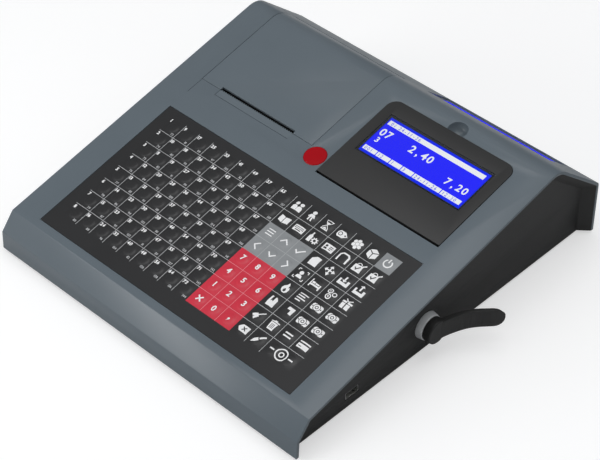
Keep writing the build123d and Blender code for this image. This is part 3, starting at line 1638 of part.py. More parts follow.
# The grip's inner face follows its outer face, and the grip gets thinner towards its tip
grip_face = [(side_wall_x + out, lock_y + back) for out, back in grip_run]
grip_curve = Spline(*grip_face)
grip_shares = [step / (len(grip_face) - 1) for step in range(len(grip_face))]
inner_points = []
for share in grip_shares:
    thickness = grip_root + (grip_tip - grip_root) * share
    inner_points.append(grip_curve @ share + (grip_curve % share).rotate(Axis.Z, 90) * thickness)

with BuildPart() as key_handle:
    rod(cross_plane(key_face, lock_spot), key_head_radius, key_head_length)
    fillet(key_handle.edges().group_by(Axis.X)[-1], radius=1.2)
    with BuildSketch(Plane.XY.offset(lock_z - grip_height / 2)):
        with BuildLine():
            Spline(*grip_face)
            Spline(*inner_points)
            Line(grip_face[0], inner_points[0])
            Line(grip_face[-1], inner_points[-1])
        make_face()
    extrude(amount=grip_height)
    # Round ends seen from the side
    grip_end = grip_face[-1][1]
    with BuildSketch(cross_plane(side_wall_x, lock_spot)):
        with Locations((grip_end / 2 - lock_y / 2 - key_head_radius / 2, 0)):
            RectangleRounded(grip_end - lock_y + key_head_radius, grip_height, grip_tip_radius)
        Circle(key_head_radius)
    extrude(amount=2 * can_length + grip_end * 2, mode=Mode.INTERSECT)
save(key_handle, "key_handle")

# ---------------------------------------------------------------- circuit boards

with BuildPart() as main_board:
    block((main_board_left, main_board_front, board_z), (main_board_right, main_board_step_y, board_top))
    block((main_board_step_x, main_board_step_y, board_z), (main_board_right, main_board_back, board_top))
    for x, y in main_board_holes:
        rod(Plane((x, y, board_z - 1)), screw_clearance, board_thickness + 2, Mode.SUBTRACT)
save(main_board, "main_board")

with BuildPart() as port_boards:
    for low, high in ((port_board_low, port_board_high), (side_board_low, side_board_high)):
        block((*low, board_z), (*high, board_top))
    for x, y in port_board_holes + side_board_holes:
        rod(Plane((x, y, board_z - 1)), screw_clearance, board_thickness + 2, Mode.SUBTRACT)
save(port_boards, "port_boards")

# Chips and capacitors, from the main board's far right corner: x, y, width, length, height
chips = [
    (-66.0, -86.0, 24.0, 24.0, 2.0),
    (-32.0, -82.0, 14.0, 20.0, 1.6),
    (-32.0, -106.0, 14.0, 20.0, 1.6),
    (-96.0, -64.0, 18.0, 10.0, 1.8),
    (-126.0, -156.0, 20.0, 12.0, 1.8),
    (-156.0, -156.0, 12.0, 12.0, 1.6),
]
capacitors = [
    (-18.0, -66.0), (-18.0, -54.0), (-112.0, -42.0), (-112.0, -30.0), (-236.0, -138.0),
    (-236.0, -150.0), (-178.0, -138.0),
]
port_chips = [(114.0, 12.0, 12.0, 8.0, 1.4), (196.0, 12.0, 8.0, 8.0, 1.4)]
chip_places = [(board_corner + Vector(x, y), size) for x, y, *size in chips]
chip_places += [(Vector(*port_board_low) + Vector(x, y), size) for x, y, *size in port_chips]
connectors = [
    (keyboard_ribbon_x, keyboard_connector_y),
    (display_x, display_connector_y),
    (head_ribbon_x, head_connector_y),
]
with BuildPart() as board_parts:
    for spot, (width, length, height) in chip_places:
        low = spot - Vector(width, length) / 2
        block((low.X, low.Y, board_top), (low.X + width, low.Y + length, board_top + height))
    for x, y in capacitors:
        rod(Plane((main_board_right + x, main_board_back + y, board_top)), capacitor_radius, capacitor_height)
    for x, y in connectors:
        slab(Plane((x, y, board_top + connector_height)), connector_width, connector_length, connector_height)
        # Slot for the ribbon
        block(
            (x - ribbon_width / 2 - 0.2, y - ribbon_thickness, board_top + 1),
            (x + ribbon_width / 2 + 0.2, y + ribbon_thickness, board_top + 2 * connector_height),
            Mode.SUBTRACT,
        )
save(board_parts, "board_parts")

with BuildPart() as clock_battery:
    spot = board_corner + Vector(*battery_from_corner)
    rod(Plane((spot.X, spot.Y, board_top)), battery_radius, battery_height)
    chamfer(clock_battery.edges().group_by(Axis.Z)[-1], length=0.6)
save(clock_battery, "clock_battery")

with BuildPart() as power_converter:
    x, y, _ = board_corner + Vector(*converter_from_corner)
    w, l = converter_size
    z = board_top + converter_lift
    block((x - w / 2, y - l / 2, z), (x + w / 2, y + l / 2, z + board_thickness))
    top = z + board_thickness
    # Transformer, coil and storage capacitors
    slab(Plane((x + transformer_x, y, top + transformer_size[2])), *transformer_size)
    rod(Plane((x + coil_place[0], y + coil_place[1], top)), coil_core_radius, coil_core_height)
    for step in (-1, 1):
        spot = (x + coil_place[0] + step * storage_step, y + storage_y, top)
        rod(Plane(spot), storage_radius, storage_height)
    # Cooler, a foot with fins across it
    low = (x + cooler_corner[0], y + cooler_corner[1], top)
    across = cooler_fins * cooler_pitch - cooler_pitch + cooler_fin
    block(low, (low[0] + cooler_width, low[1] + across, top + cooler_foot))
    for fin in range(cooler_fins):
        y_fin = low[1] + fin * cooler_pitch
        block((low[0], y_fin, top), (low[0] + cooler_width, y_fin + cooler_fin, top + cooler_height))
    # Pins down to the main board
    for sx in (-1, 1):
        for sy in (-1, 1):
            spot = (x + sx * (w / 2 - board_hole_inset), y + sy * (l / 2 - board_hole_inset), board_top)
            rod(Plane(spot), converter_pin_radius, converter_lift)
save(power_converter, "power_converter")

with BuildPart() as sales_memory:
    x, y, _ = board_corner + Vector(*memory_from_corner)
    w, l, h = memory_size
    block((x - w / 2, y - l / 2, board_top), (x + w / 2, y + l / 2, board_top + h))
    fillet(sales_memory.edges().filter_by(Axis.Z), radius=3)
    chamfer(sales_memory.faces().sort_by(Axis.Z)[-1].edges(), length=1)
save(sales_memory, "sales_memory")

with BuildPart() as beeper:
    x, y, _ = board_corner + Vector(*beeper_from_corner)
    rod(Plane((x, y, board_top)), beeper_radius, beeper_height)
    rod(Plane((x, y, board_top + beeper_height - 1)), 1.2, 2, Mode.SUBTRACT)
save(beeper, "beeper")

# ---------------------------------------------------------------- sockets

port_face = rear_y - port_face_recess
usb_planes = [
    Plane(origin=(x, port_face, board_top + usb_height / 2), x_dir=(-1, 0, 0), z_dir=(0, 1, 0))
    for x in usb_rear_x
]
usb_planes.append(
    Plane(origin=(side_wall_x - port_face_recess, usb_side_y, usb_side_z), x_dir=(0, 1, 0), z_dir=(1, 0, 0)),
)

with BuildPart() as usb_shells:
    for plane in usb_planes:
        slab(plane, usb_width, usb_height, usb_depth)
        slab(plane, usb_width - 2 * usb_shell, usb_height - 2 * usb_shell, usb_depth - 1, Mode.SUBTRACT)
save(usb_shells, "usb_shells")

with BuildPart() as usb_tongues:
    for plane in usb_planes:
        inside = plane.offset(-usb_depth + 1)
        with Locations(inside):
            Box(
                usb_width - 2 * usb_shell, usb_height - 2 * usb_shell, 2,
                align=(Align.CENTER, Align.CENTER, Align.MIN),
            )
            with Locations((0, usb_tongue_rise, 0)):
                Box(
                    usb_tongue_width, usb_tongue_height, usb_depth - 3,
                    align=(Align.CENTER, Align.CENTER, Align.MIN),
                )
save(usb_tongues, "usb_tongues")


def jack(x, size, mouth):
    """A modular socket whose mouth opens to the rear, with the notch for a plug's latch below."""
    width, height, depth = size
    mouth_width, mouth_height, mouth_depth = mouth
    middle = board_top + height / 2
    block((x - width / 2, port_face - depth, board_top), (x + width / 2, port_face, board_top + height))
    block(
        (x - mouth_width / 2, port_face - mouth_depth, middle - mouth_height / 2 + 1),
        (x + mouth_width / 2, port_face + 1, middle + mouth_height / 2 + 1), Mode.SUBTRACT,
    )
    block(
        (x - mouth_width / 4, port_face - mouth_depth / 2, middle - mouth_height / 2 - 1),
        (x + mouth_width / 4, port_face + 1, middle), Mode.SUBTRACT,
    )


with BuildPart() as network_socket:
    jack(network_x, network_size, network_mouth)
save(network_socket, "network_socket")

with BuildPart() as drawer_socket:
    jack(drawer_x, drawer_size, drawer_mouth)
save(drawer_socket, "drawer_socket")

with BuildPart() as serial_sockets:
    flange_w, flange_h = serial_flange
    shell_w, shell_h = serial_shell
    for x in serial_x:
        middle = Plane(origin=(x, port_face, board_top + flange_h / 2), x_dir=(-1, 0, 0), z_dir=(0, 1, 0))
        slab(middle, shell_w, shell_h, serial_depth)
        slab(middle.offset(-serial_shell_out), flange_w, flange_h, serial_plate)
        slab(
            middle.offset(-serial_shell_out - serial_plate), flange_w - 10, flange_h,
            serial_depth - serial_shell_out,
        )
        # Nine contact holes in two rows, and the threaded holes beside the shell
        with Locations(middle):
            for row, count in ((1, 5), (-1, 4)):
                with Locations((0, row * 1.42)):
                    with GridLocations(2.77, 0, count, 1):
                        Cylinder(0.6, 2 * serial_shell_out, mode=Mode.SUBTRACT)
            with GridLocations(25, 0, 2, 1):
                Cylinder(1.5, 4 * serial_shell_out, mode=Mode.SUBTRACT)
save(serial_sockets, "serial_sockets")

with BuildPart() as power_inlet:
    barrel = Plane(origin=(inlet_x, port_face, inlet_z), x_dir=(-1, 0, 0), z_dir=(0, 1, 0))
    rod(barrel.offset(-inlet_depth), inlet_radius, inlet_depth)
    slab(barrel.offset(-4), 2 * inlet_radius, 2 * (inlet_z - board_top), inlet_depth - 4)
    rod(barrel.offset(1 - inlet_depth), inlet_bore, inlet_depth, Mode.SUBTRACT)
    rod(barrel.offset(-inlet_depth), inlet_pin_radius, inlet_depth - 1)
save(power_inlet, "power_inlet")

# ---------------------------------------------------------------- ribbon cables and small screws


def strip(x, *points):
    """A ribbon cable that runs through section points, centred on x."""
    with BuildPart() as cable:
        with BuildSketch(Plane.YZ.offset(x - ribbon_width / 2)):
            with BuildLine():
                FilletPolyline(*points, radius=ribbon_bend)
            trace(line_width=ribbon_thickness)
        extrude(amount=ribbon_width)
    return cable.part


socket_in = board_top + 1.5
head_foot = by_head(sink_out + sink_thickness / 2, -head_below - 0.4)
with BuildPart() as ribbon_cables:
    add(strip(
        keyboard_ribbon_x,
        on_deck(keyboard_along, backing_top - backing_gap),
        on_deck(keyboard_along, backing_top - keyboard_ribbon_drop),
        Vector(keyboard_connector_y, board_top + keyboard_ribbon_drop),
        Vector(keyboard_connector_y, socket_in),
    ))
    add(strip(
        display_x,
        on_deck(ribbon_slot_along, -housing_depth - ribbon_end_gap),
        on_deck(ribbon_slot_along, -well_depth - display_ribbon_drop),
        Vector(display_connector_y, board_top + display_ribbon_drop),
        Vector(display_connector_y, socket_in),
    ))
    add(strip(
        head_ribbon_x,
        head_foot,
        head_foot - Vector(0, head_ribbon_drop),
        Vector(head_connector_y, board_top + keyboard_ribbon_drop),
        Vector(head_connector_y, socket_in),
    ))
save(ribbon_cables, "ribbon_cables")

with BuildPart() as small_screws:
    for x, along in backing_screws:
        with Locations(deck_plane(x, along, backing_top - backing_thickness)):
            add(small_screw.part)
    for x, along in lug_places:
        with Locations(deck_plane(x, along, -cover_wall - boss_drop - lug_thickness)):
            add(small_screw.part)
    for x in bracket_bosses:
        with Locations(slope_plane(x, bracket_boss_along, customer_underside - bracket_thickness)):
            add(small_screw.part)
    for x, y in board_holes:
        with Locations(Plane((x, y, board_top), z_dir=(0, 0, -1))):
            add(small_screw.part)
    for x, y in frame_feet:
        with Locations(Plane((x, y, floor_top + frame_foot_thickness), z_dir=(0, 0, -1))):
            add(small_screw.part)
    for step in ear_steps:
        spot = pinion + step
        with Locations(Plane((frame_left_inner + motor_ear_thickness, spot.X, spot.Y), z_dir=(-1, 0, 0))):
            add(small_screw.part)
save(small_screws, "small_screws")
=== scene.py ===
import math

import bmesh
import bpy
from mathutils import Matrix, Vector
from mathutils.geometry import tessellate_polygon


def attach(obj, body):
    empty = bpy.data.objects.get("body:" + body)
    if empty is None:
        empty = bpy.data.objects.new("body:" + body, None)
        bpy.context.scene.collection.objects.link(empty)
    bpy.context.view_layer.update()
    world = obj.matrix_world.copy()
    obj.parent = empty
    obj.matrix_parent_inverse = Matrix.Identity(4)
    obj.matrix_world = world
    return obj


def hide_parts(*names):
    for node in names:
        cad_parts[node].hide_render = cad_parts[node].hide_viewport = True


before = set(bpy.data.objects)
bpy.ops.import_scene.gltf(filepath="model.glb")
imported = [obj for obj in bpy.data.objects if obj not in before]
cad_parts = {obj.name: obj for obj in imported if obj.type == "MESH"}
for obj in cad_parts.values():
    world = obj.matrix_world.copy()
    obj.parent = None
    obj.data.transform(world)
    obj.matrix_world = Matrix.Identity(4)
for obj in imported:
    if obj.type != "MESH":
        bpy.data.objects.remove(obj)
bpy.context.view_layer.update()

# ---------------------------------------------------------------- camera
# It looks down over the operator's right shoulder from about 1.6 m, with a long lens.

camera_azimuth = math.radians(43.98)
camera_elevation = math.radians(41.66)
lens = bpy.data.cameras.new("camera")
lens.sensor_width = 36.0
lens.lens = 120.46
camera = bpy.data.objects.new("camera", lens)
camera.location = (0.8298, -0.8596, 1.0748)
camera.rotation_euler = (math.pi / 2 - camera_elevation, 0.0, camera_azimuth)
bpy.context.scene.collection.objects.link(camera)
bpy.context.scene.camera = camera

# ---------------------------------------------------------------- lower case and feet
# The tray and side walls are injection-moulded black ABS with a fine spark-eroded grain. Five moulded
# rubber feet sit in seats under the tray, and six long screws hold it up against the cover's bosses.


def linear(code):
    """An sRGB hex colour as the linear colour that a shader reads."""
    parts = [int(code[i:i + 2], 16) / 255 for i in (0, 2, 4)]
    return [c / 12.92 if c <= 0.04045 else ((c + 0.055) / 1.055) ** 2.4 for c in parts] + [1.0]


def add_node(tree, kind, inputs=None, **settings):
    """Adds a node with its settings. inputs gives a socket, by name or number, a value or another output."""
    node = tree.nodes.new(kind)
    for name, value in settings.items():
        setattr(node, name, value)
    for socket, value in (inputs or {}).items():
        if isinstance(value, bpy.types.NodeSocket):
            tree.links.new(value, node.inputs[socket])
        else:
            node.inputs[socket].default_value = value
    return node


def new_material(name):
    """An empty node material and its tree."""
    material = bpy.data.materials.new(name)
    material.use_nodes = True
    material.node_tree.nodes.clear()
    return material, material.node_tree


def noise(tree, place, scale, detail=2.0):
    """Noise with so many patches to the metre."""
    inputs = {"Vector": place, "Scale": scale, "Detail": detail}
    return add_node(tree, "ShaderNodeTexNoise", inputs).outputs[0]


def shade_between(tree, share, first, second):
    """A colour that goes from one hex colour to another."""
    ends = {0: share, 6: linear(first), 7: linear(second)}
    return add_node(tree, "ShaderNodeMix", ends, data_type="RGBA").outputs[2]


def surface(tree, colour, gloss, bump, **constants):
    """Ends a material's tree: a colour, a roughness and a bumped normal on one shader."""
    inputs = {"Base Color": colour, "Roughness": gloss, "Normal": bump.outputs[0], **constants}
    shader = add_node(tree, "ShaderNodeBsdfPrincipled", inputs)
    add_node(tree, "ShaderNodeOutputMaterial", {"Surface": shader.outputs[0]})


def moulded(name, shade, light_shade, grain, grain_depth, roughness, **constants):
    """A moulded plastic or rubber: a grain of so many metres, and a colour and gloss that drift a little."""
    material, tree = new_material(name)
    drift = 0.06
    place = add_node(tree, "ShaderNodeTexCoord").outputs["Object"]
    fine = noise(tree, place, 1 / grain, 3.0)
    colour = shade_between(tree, noise(tree, place, 22.0), shade, light_shade)
    gloss = add_node(tree, "ShaderNodeMapRange", {0: fine, 3: roughness - drift, 4: roughness + drift})
    bump = add_node(tree, "ShaderNodeBump", {"Height": fine, "Strength": 0.5, "Distance": grain_depth})
    surface(tree, colour, gloss.outputs[0], bump, **constants)
    return material


def dress(material, *nodes):
    """Gives CAD nodes a finish."""
    for node in nodes:
        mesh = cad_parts[node].data
        mesh.materials.clear()
        mesh.materials.append(material)


# Points closer than this are one, faces flatter than this are one, and edges sharper than this are rounded
weld_distance = 1e-6
flat_angle = math.radians(0.4)
sharp_angle = math.radians(32)


def softened(name, node, width, body, material):
    """Stands for a CAD node whose sharp edges are rounded by width, as those of a moulding are."""
    shape = bmesh.new()
    shape.from_mesh(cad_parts[node].data)
    bmesh.ops.remove_doubles(shape, verts=shape.verts, dist=weld_distance)
    bmesh.ops.dissolve_limit(shape, angle_limit=flat_angle, verts=shape.verts, edges=shape.edges)
    mesh = bpy.data.meshes.new(name)
    shape.to_mesh(mesh)
    shape.free()
    mesh.materials.clear()
    mesh.materials.append(material)
    for face in mesh.polygons:
        face.use_smooth = True
        face.material_index = 0
    piece = bpy.data.objects.new(name, mesh)
    bpy.context.scene.collection.objects.link(piece)
    bevel = piece.modifiers.new("rounded_edges", "BEVEL")
    bevel.width = width
    bevel.segments = 2
    bevel.limit_method = "ANGLE"
    bevel.angle_limit = sharp_angle
    bevel.harden_normals = True
    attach(piece, body)
    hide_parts(node)


# Black ABS, moulded against a fine grain: it looks neutral black with a soft, broad sheen
case_abs = moulded("black_abs_fine_grain", "262626", "2B2B2A", 0.0011, 0.00004, 0.52)
# Black rubber, moulded: duller than the case and slightly brown
foot_rubber = moulded("moulded_black_rubber", "1B1A19", "22211F", 0.0016, 0.00006, 0.8)
softened("case_tray", "lower_case", 0.0004, "root", case_abs)
dress(foot_rubber, "rubber_feet")

# ---------------------------------------------------------------- screws, pins and springs
# Pan-head and long case screws, hinge pins, the platen's shaft and the latch are steel, zinc plated or
# ground bright. They are turned or ground, so fine lines run round them.


# Depth of the lines that turning or grinding leaves, and how they are packed to run round one axis
line_depth = 0.00001
round_x = (14.0, 1.0, 1.0)
round_z = (1.0, 1.0, 12.0)


def metal(name, shade, dark_shade, roughness, line, packing=round_z):
    """A metal with fine lines of so many metres, packed closer along the axis that they run round."""
    material, tree = new_material(name)
    drift = 0.07
    place = add_node(tree, "ShaderNodeTexCoord").outputs["Object"]
    packed = add_node(tree, "ShaderNodeMapping", {"Vector": place, "Scale": packing})
    lines = noise(tree, packed.outputs[0], 1 / line, 4.0)
    colour = shade_between(tree, noise(tree, place, 60.0, 3.0), dark_shade, shade)
    gloss = add_node(tree, "ShaderNodeMapRange", {0: lines, 3: roughness - drift, 4: roughness + drift})
    bump = add_node(tree, "ShaderNodeBump", {"Height": lines, "Strength": 0.4, "Distance": line_depth})
    surface(tree, colour, gloss.outputs[0], bump, Metallic=1.0)
    return material


# Zinc plate: pale grey with a faint cloud and a soft gloss
zinc_plate = metal("zinc_plated_steel", "B9BDBE", "9FA4A6", 0.34, 0.0009)
# Ground steel: brighter and smoother, with fine lines round it
ground_steel = metal("ground_bright_steel", "D2D3D2", "BFC1C1", 0.22, 0.0006, round_x)
dress(zinc_plate, "case_screws", "small_screws", "display_screws", "head_springs", "button_spring")
dress(zinc_plate, "keyboard_backing", "motor_can", "serial_sockets")
dress(ground_steel, "display_hinge_pins", "lid_hinge_pins", "platen_shaft", "idler_stud", "motor_shaft")
dress(ground_steel, "latch_bar", "key_can", "clock_battery", "usb_shells")

# ---------------------------------------------------------------- boards and what stands on them
# The main, port and side boards are glass-fibre laminate under green lacquer, with tinned tracks, moulded
# epoxy chips, a coin cell, a power converter, a sales memory, a beeper and flat ribbon cables.


def laminate():
    """Green solder lacquer with a trace of its tracks: paler bands every 2.4 mm, with dark lines between."""
    material, tree = new_material("green_lacquered_laminate")
    place = add_node(tree, "ShaderNodeTexCoord").outputs["Object"]
    colours = {"Color1": linear("1C5A34"), "Color2": linear("1F6339"), "Mortar": linear("174C2B")}
    sizes = {"Scale": 1.0, "Mortar Size": 0.0004, "Brick Width": 0.022, "Row Height": 0.0024}
    tracks = add_node(tree, "ShaderNodeTexBrick", {"Vector": place, **colours, **sizes})
    relief = {"Height": tracks.outputs[1], "Strength": 0.6, "Distance": 0.00004}
    bump = add_node(tree, "ShaderNodeBump", relief)
    gloss = add_node(tree, "ShaderNodeMapRange", {0: noise(tree, place, 400.0), 3: 0.28, 4: 0.42})
    surface(tree, tracks.outputs[0], gloss.outputs[0], bump)
    return material


# Moulded epoxy: charcoal, dry and faintly speckled
chip_epoxy = moulded("moulded_charcoal_epoxy", "1A1A1C", "242426", 0.0007, 0.00003, 0.6)
# Black nylon of the socket bodies: a touch glossier than the epoxy
socket_nylon = moulded("black_nylon", "161616", "1E1E1E", 0.0009, 0.00003, 0.45)
# Natural acetal: milky white and waxy
waxy = {"Subsurface Weight": 0.1, "Subsurface Radius": (0.001, 0.001, 0.001)}
acetal = moulded("natural_acetal", "E4E3DC", "EDECE6", 0.0015, 0.00002, 0.38, **waxy)
# Grey vinyl of the flat cables
ribbon_vinyl = moulded("grey_ribbon_vinyl", "8C8F93", "9A9DA1", 0.0013, 0.00006, 0.5)
dress(laminate(), "main_board", "port_boards", "keyboard_board")
dress(chip_epoxy, "board_parts", "power_converter", "sales_memory", "beeper")
dress(socket_nylon, "network_socket", "drawer_socket", "power_inlet")
dress(acetal, "usb_tongues", "platen_bushes", "platen_gear", "idler_gear")
dress(ribbon_vinyl, "ribbon_cables")

# ---------------------------------------------------------------- printer
# A dark glass-filled frame holds the paper roll, the thermal head on its aluminium heat sink and a small
# motor with a brass pinion. The rubber platen hangs from the lid.

# Glass-filled plastic: dark grey with a slight mottle
frame_nylon = moulded("dark_glass_filled_nylon", "2E2F31", "393A3C", 0.0012, 0.00005, 0.6)
# Ground rubber of the platen: matt black
platen_rubber = moulded("ground_platen_rubber", "191919", "202020", 0.0006, 0.00002, 0.75)
# Turned brass of the pinion: warm yellow with lines round it
brass = metal("turned_brass", "D9B25C", "BE963F", 0.28, 0.0004, round_x)
# Extruded aluminium: pale and slightly dull, with fine lines across it
aluminium = metal("extruded_aluminium", "C9CBCD", "B4B7BA", 0.36, 0.0006, (12.0, 1.0, 1.0))
# Glazed ceramic of the thermal head: cream, smooth
head_glaze = moulded("glazed_ceramic", "D8CDA8", "E0D6B4", 0.003, 0.00001, 0.18)
dress(frame_nylon, "printer_frame", "customer_bracket")
dress(platen_rubber, "platen_rubber")
dress(brass, "motor_pinion")
dress(aluminium, "head_heat_sink")
dress(head_glaze, "print_head")


roll_y, roll_z = 0.088, 0.050
# Real paper is 0.06 mm thick: the rings stand for some ten turns each
ring_pitch = 0.0007


def wound_paper():
    """White thermal paper; the ends of the roll show its turns as rings."""
    material, tree = new_material("thermal_paper")
    place = add_node(tree, "ShaderNodeTexCoord").outputs["Object"]
    about = add_node(tree, "ShaderNodeMapping", {"Vector": place, "Location": (0.0, -roll_y, -roll_z)})
    parts = add_node(tree, "ShaderNodeSeparateXYZ", {0: about.outputs[0]})
    flat = add_node(tree, "ShaderNodeCombineXYZ", {1: parts.outputs[1], 2: parts.outputs[2]})
    out = add_node(tree, "ShaderNodeVectorMath", {0: flat.outputs[0]}, operation="LENGTH")
    rings = {0: out.outputs["Value"], 1: 2 * math.pi / ring_pitch}
    turns = add_node(tree, "ShaderNodeMath", rings, operation="MULTIPLY")
    wave = add_node(tree, "ShaderNodeMath", {0: turns.outputs[0]}, operation="SINE")
    layers = {0: wave.outputs[0], 1: 0.25, 2: noise(tree, place, 700.0, 4.0)}
    grain = add_node(tree, "ShaderNodeMath", layers, operation="MULTIPLY_ADD").outputs[0]
    bump = add_node(tree, "ShaderNodeBump", {"Height": grain, "Strength": 0.4, "Distance": 0.00003})
    surface(tree, shade_between(tree, grain, "E2E2DE", "F1F1EE"), 0.6, bump)
    return material


# Grey-brown board of the roll's core
board_tube = moulded("grey_brown_board", "8C7A60", "9D8B70", 0.0018, 0.00008, 0.85)
dress(wound_paper(), "paper_roll", "paper_web")
dress(board_tube, "roll_core")

# ---------------------------------------------------------------- top cover
# One large blue-grey ABS moulding forms the deck, the front bevel, the lip and the rear slope. Its grain
# is fine and satin, and its outer edges are slightly rounded.

cover_abs = moulded("blue_grey_abs_satin", "616B72", "667077", 0.0010, 0.00003, 0.32)
softened("cover_shell", "top_cover", 0.0006, "root", cover_abs)

# ---------------------------------------------------------------- keyboard sheet
# A sealed polyester film, printed from behind, covers 16 by 8 dome switches and is embossed with a low
# round dome over each. It lies in a recess of the deck on a silicone mat.

tilt = math.radians(13.0)
deck_front = Vector((0.0, -0.1584, 0.0344))
deck_run = Vector((0.0, math.cos(tilt), math.sin(tilt)))
deck_out = Vector((0.0, -math.sin(tilt), math.cos(tilt)))


def deck_place(x, along, above=0.0):
    """Places a flat shape on the deck: its X to the right, its Y up the deck and its Z out of it."""
    spot = Vector((x, 0.0, 0.0)) + deck_front + deck_run * along + deck_out * above
    axes = Matrix((Vector((1.0, 0.0, 0.0)), deck_run, deck_out)).transposed().to_4x4()
    return Matrix.Translation(spot) @ axes


pitch = 0.0155
columns, rows = 16, 8
grid_x, grid_along = -0.0010, 0.0828
film_level = -0.0002
# Radius and height of each ring of an embossed dome, from its nearly flat top down the steeper rim
dome_rings = [
    (0.0, 0.00070), (0.0018, 0.00068), (0.0032, 0.00060), (0.0041, 0.00044), (0.0048, 0.00020), (0.0053, 0.0),
]
dome_sides = 24
film_width, film_length, film_along = 0.2722, 0.1450, 0.0798
film_thickness = 0.0008
film_corner = 0.0012
corner_steps = 4
weld_reach = 0.00002
red_keys = {(c, r) for c in (10, 11, 12) for r in (5, 6, 7, 8)}
grey_keys = {(c, r) for c in (10, 11, 12) for r in (3, 4)} | {(16, 1)}
# The cash key of the nearest row takes two places, from this column on
wide_column = 15


def dome(x, y):
    """How far the film rises over its level, x and y from the middle of the key grid."""
    dx = (x / pitch - 0.5) - round(x / pitch - 0.5)
    dy = (y / pitch - 0.5) - round(y / pitch - 0.5)
    away = math.hypot(dx, dy) * pitch
    for (inner, high), (outer, lower) in zip(dome_rings, dome_rings[1:]):
        if away < outer:
            return high + (lower - high) * (away - inner) / (outer - inner)
    return 0.0


def key_at(x, y):
    """Column and row of the key under a point, from the middle of the grid; row 1 is the far one."""
    return math.floor(x / pitch + columns / 2) + 1, rows - math.floor(y / pitch + rows / 2)


def zone(key):
    """Which of the black, red and grey prints a key has."""
    return 1 if key in red_keys else 2 if key in grey_keys else 0


def baked(name, source, tree, **inputs):
    """The result of a node tree on an object as a plain mesh; its named inputs are set first."""
    modifier = source.modifiers.new("tree", "NODES")
    modifier.node_group = tree
    for item in tree.interface.items_tree:
        if item.in_out == "INPUT" and item.name in inputs:
            modifier[item.identifier] = inputs[item.name]
    graph = bpy.context.evaluated_depsgraph_get()
    graph.update()
    mesh = bpy.data.meshes.new_from_object(source.evaluated_get(graph), depsgraph=graph)
    mesh.name = name
    source.modifiers.remove(modifier)
    return mesh


def add_piece(name, mesh):
    """Links a finished mesh as an object at the origin."""
    piece = bpy.data.objects.new(name, mesh)
    bpy.context.scene.collection.objects.link(piece)
    return piece


# One key's patch of film: rings down from the dome's top, and a square outside them
patch = bmesh.new()
middle = patch.verts.new((0, 0, dome_rings[0][1]))
turns = [2 * math.pi * i / dome_sides for i in range(dome_sides)]
around = [(math.cos(turn), math.sin(turn)) for turn in turns]
loops = []
for radius, height in dome_rings[1:]:
    loops.append([patch.verts.new((radius * c, radius * s, height)) for c, s in around])
square = []
for c, s in around:
    reach = pitch / 2 / max(abs(c), abs(s))
    square.append(patch.verts.new((reach * c, reach * s, 0)))
loops.append(square)
for i in range(dome_sides):
    after = (i + 1) % dome_sides
    patch.faces.new((middle, loops[0][i], loops[0][after]))
    for inner, outer in zip(loops, loops[1:]):
        patch.faces.new((inner[i], outer[i], outer[after], inner[after]))
key_mesh = bpy.data.meshes.new("key_patch")
patch.to_mesh(key_mesh)
patch.free()
key_patch = bpy.data.objects.new("key_patch", key_mesh)


def new_tree(name, **sockets):
    """A Geometry Nodes tree with inputs of these kinds and one geometry out, and the inputs' sockets."""
    tree = bpy.data.node_groups.new(name, "GeometryNodeTree")
    for label, kind in sockets.items():
        tree.interface.new_socket(label, in_out="INPUT", socket_type="NodeSocket" + kind)
    tree.interface.new_socket("Geometry", in_out="OUTPUT", socket_type="NodeSocketGeometry")
    return tree, add_node(tree, "NodeGroupInput").outputs


def one_less(tree, count):
    """The number of gaps between so many things in a row."""
    return add_node(tree, "ShaderNodeMath", {0: count, 1: 1.0}, operation="SUBTRACT").outputs[0]


def spots_at(tree, step, across, along):
    """A grid of points, so many across and along, one step apart."""
    reach = []
    for count in (across, along):
        inputs = {0: one_less(tree, count), 1: step}
        reach.append(add_node(tree, "ShaderNodeMath", inputs, operation="MULTIPLY").outputs[0])
    grid = add_node(tree, "GeometryNodeMeshGrid", {0: reach[0], 1: reach[1], 2: across, 3: along})
    return grid.outputs[0]


def copies_at(tree, spots, shape):
    """A copy of a shape at each point."""
    inputs = {"Points": spots, "Instance": shape}
    return add_node(tree, "GeometryNodeInstanceOnPoints", inputs).outputs[0]


def end_tree(tree, geometry, finish):
    """Gives the geometry its finish and sends it out of the tree."""
    painted = add_node(tree, "GeometryNodeSetMaterial", {"Geometry": geometry, "Material": finish})
    add_node(tree, "NodeGroupOutput", {0: painted.outputs[0]})


# The tree lays that patch out over the grid of keys
key_tree, given = new_tree(
    "grid_of_keys", Key="Object", Columns="Int", Rows="Int", Pitch="Float", Finish="Material",
)
key_shape = add_node(key_tree, "GeometryNodeObjectInfo", {"Object": given["Key"]})
spots = spots_at(key_tree, given["Pitch"], given["Columns"], given["Rows"])
placed = copies_at(key_tree, spots, key_shape.outputs["Geometry"])
real = add_node(key_tree, "GeometryNodeRealizeInstances", {0: placed})
welded = {"Geometry": real.outputs[0], "Distance": weld_reach}
joined = add_node(key_tree, "GeometryNodeMergeByDistance", welded)
end_tree(key_tree, joined.outputs[0], given["Finish"])


def printed_film(name, shade, light_shade):
    """Satin polyester with a printed colour: a fine matt grain and a thin clear gloss over the ink."""
    clear_gloss = {"Coat Weight": 0.12, "Coat Roughness": 0.3}
    return moulded(name, shade, light_shade, 0.0009, 0.00002, 0.40, **clear_gloss)


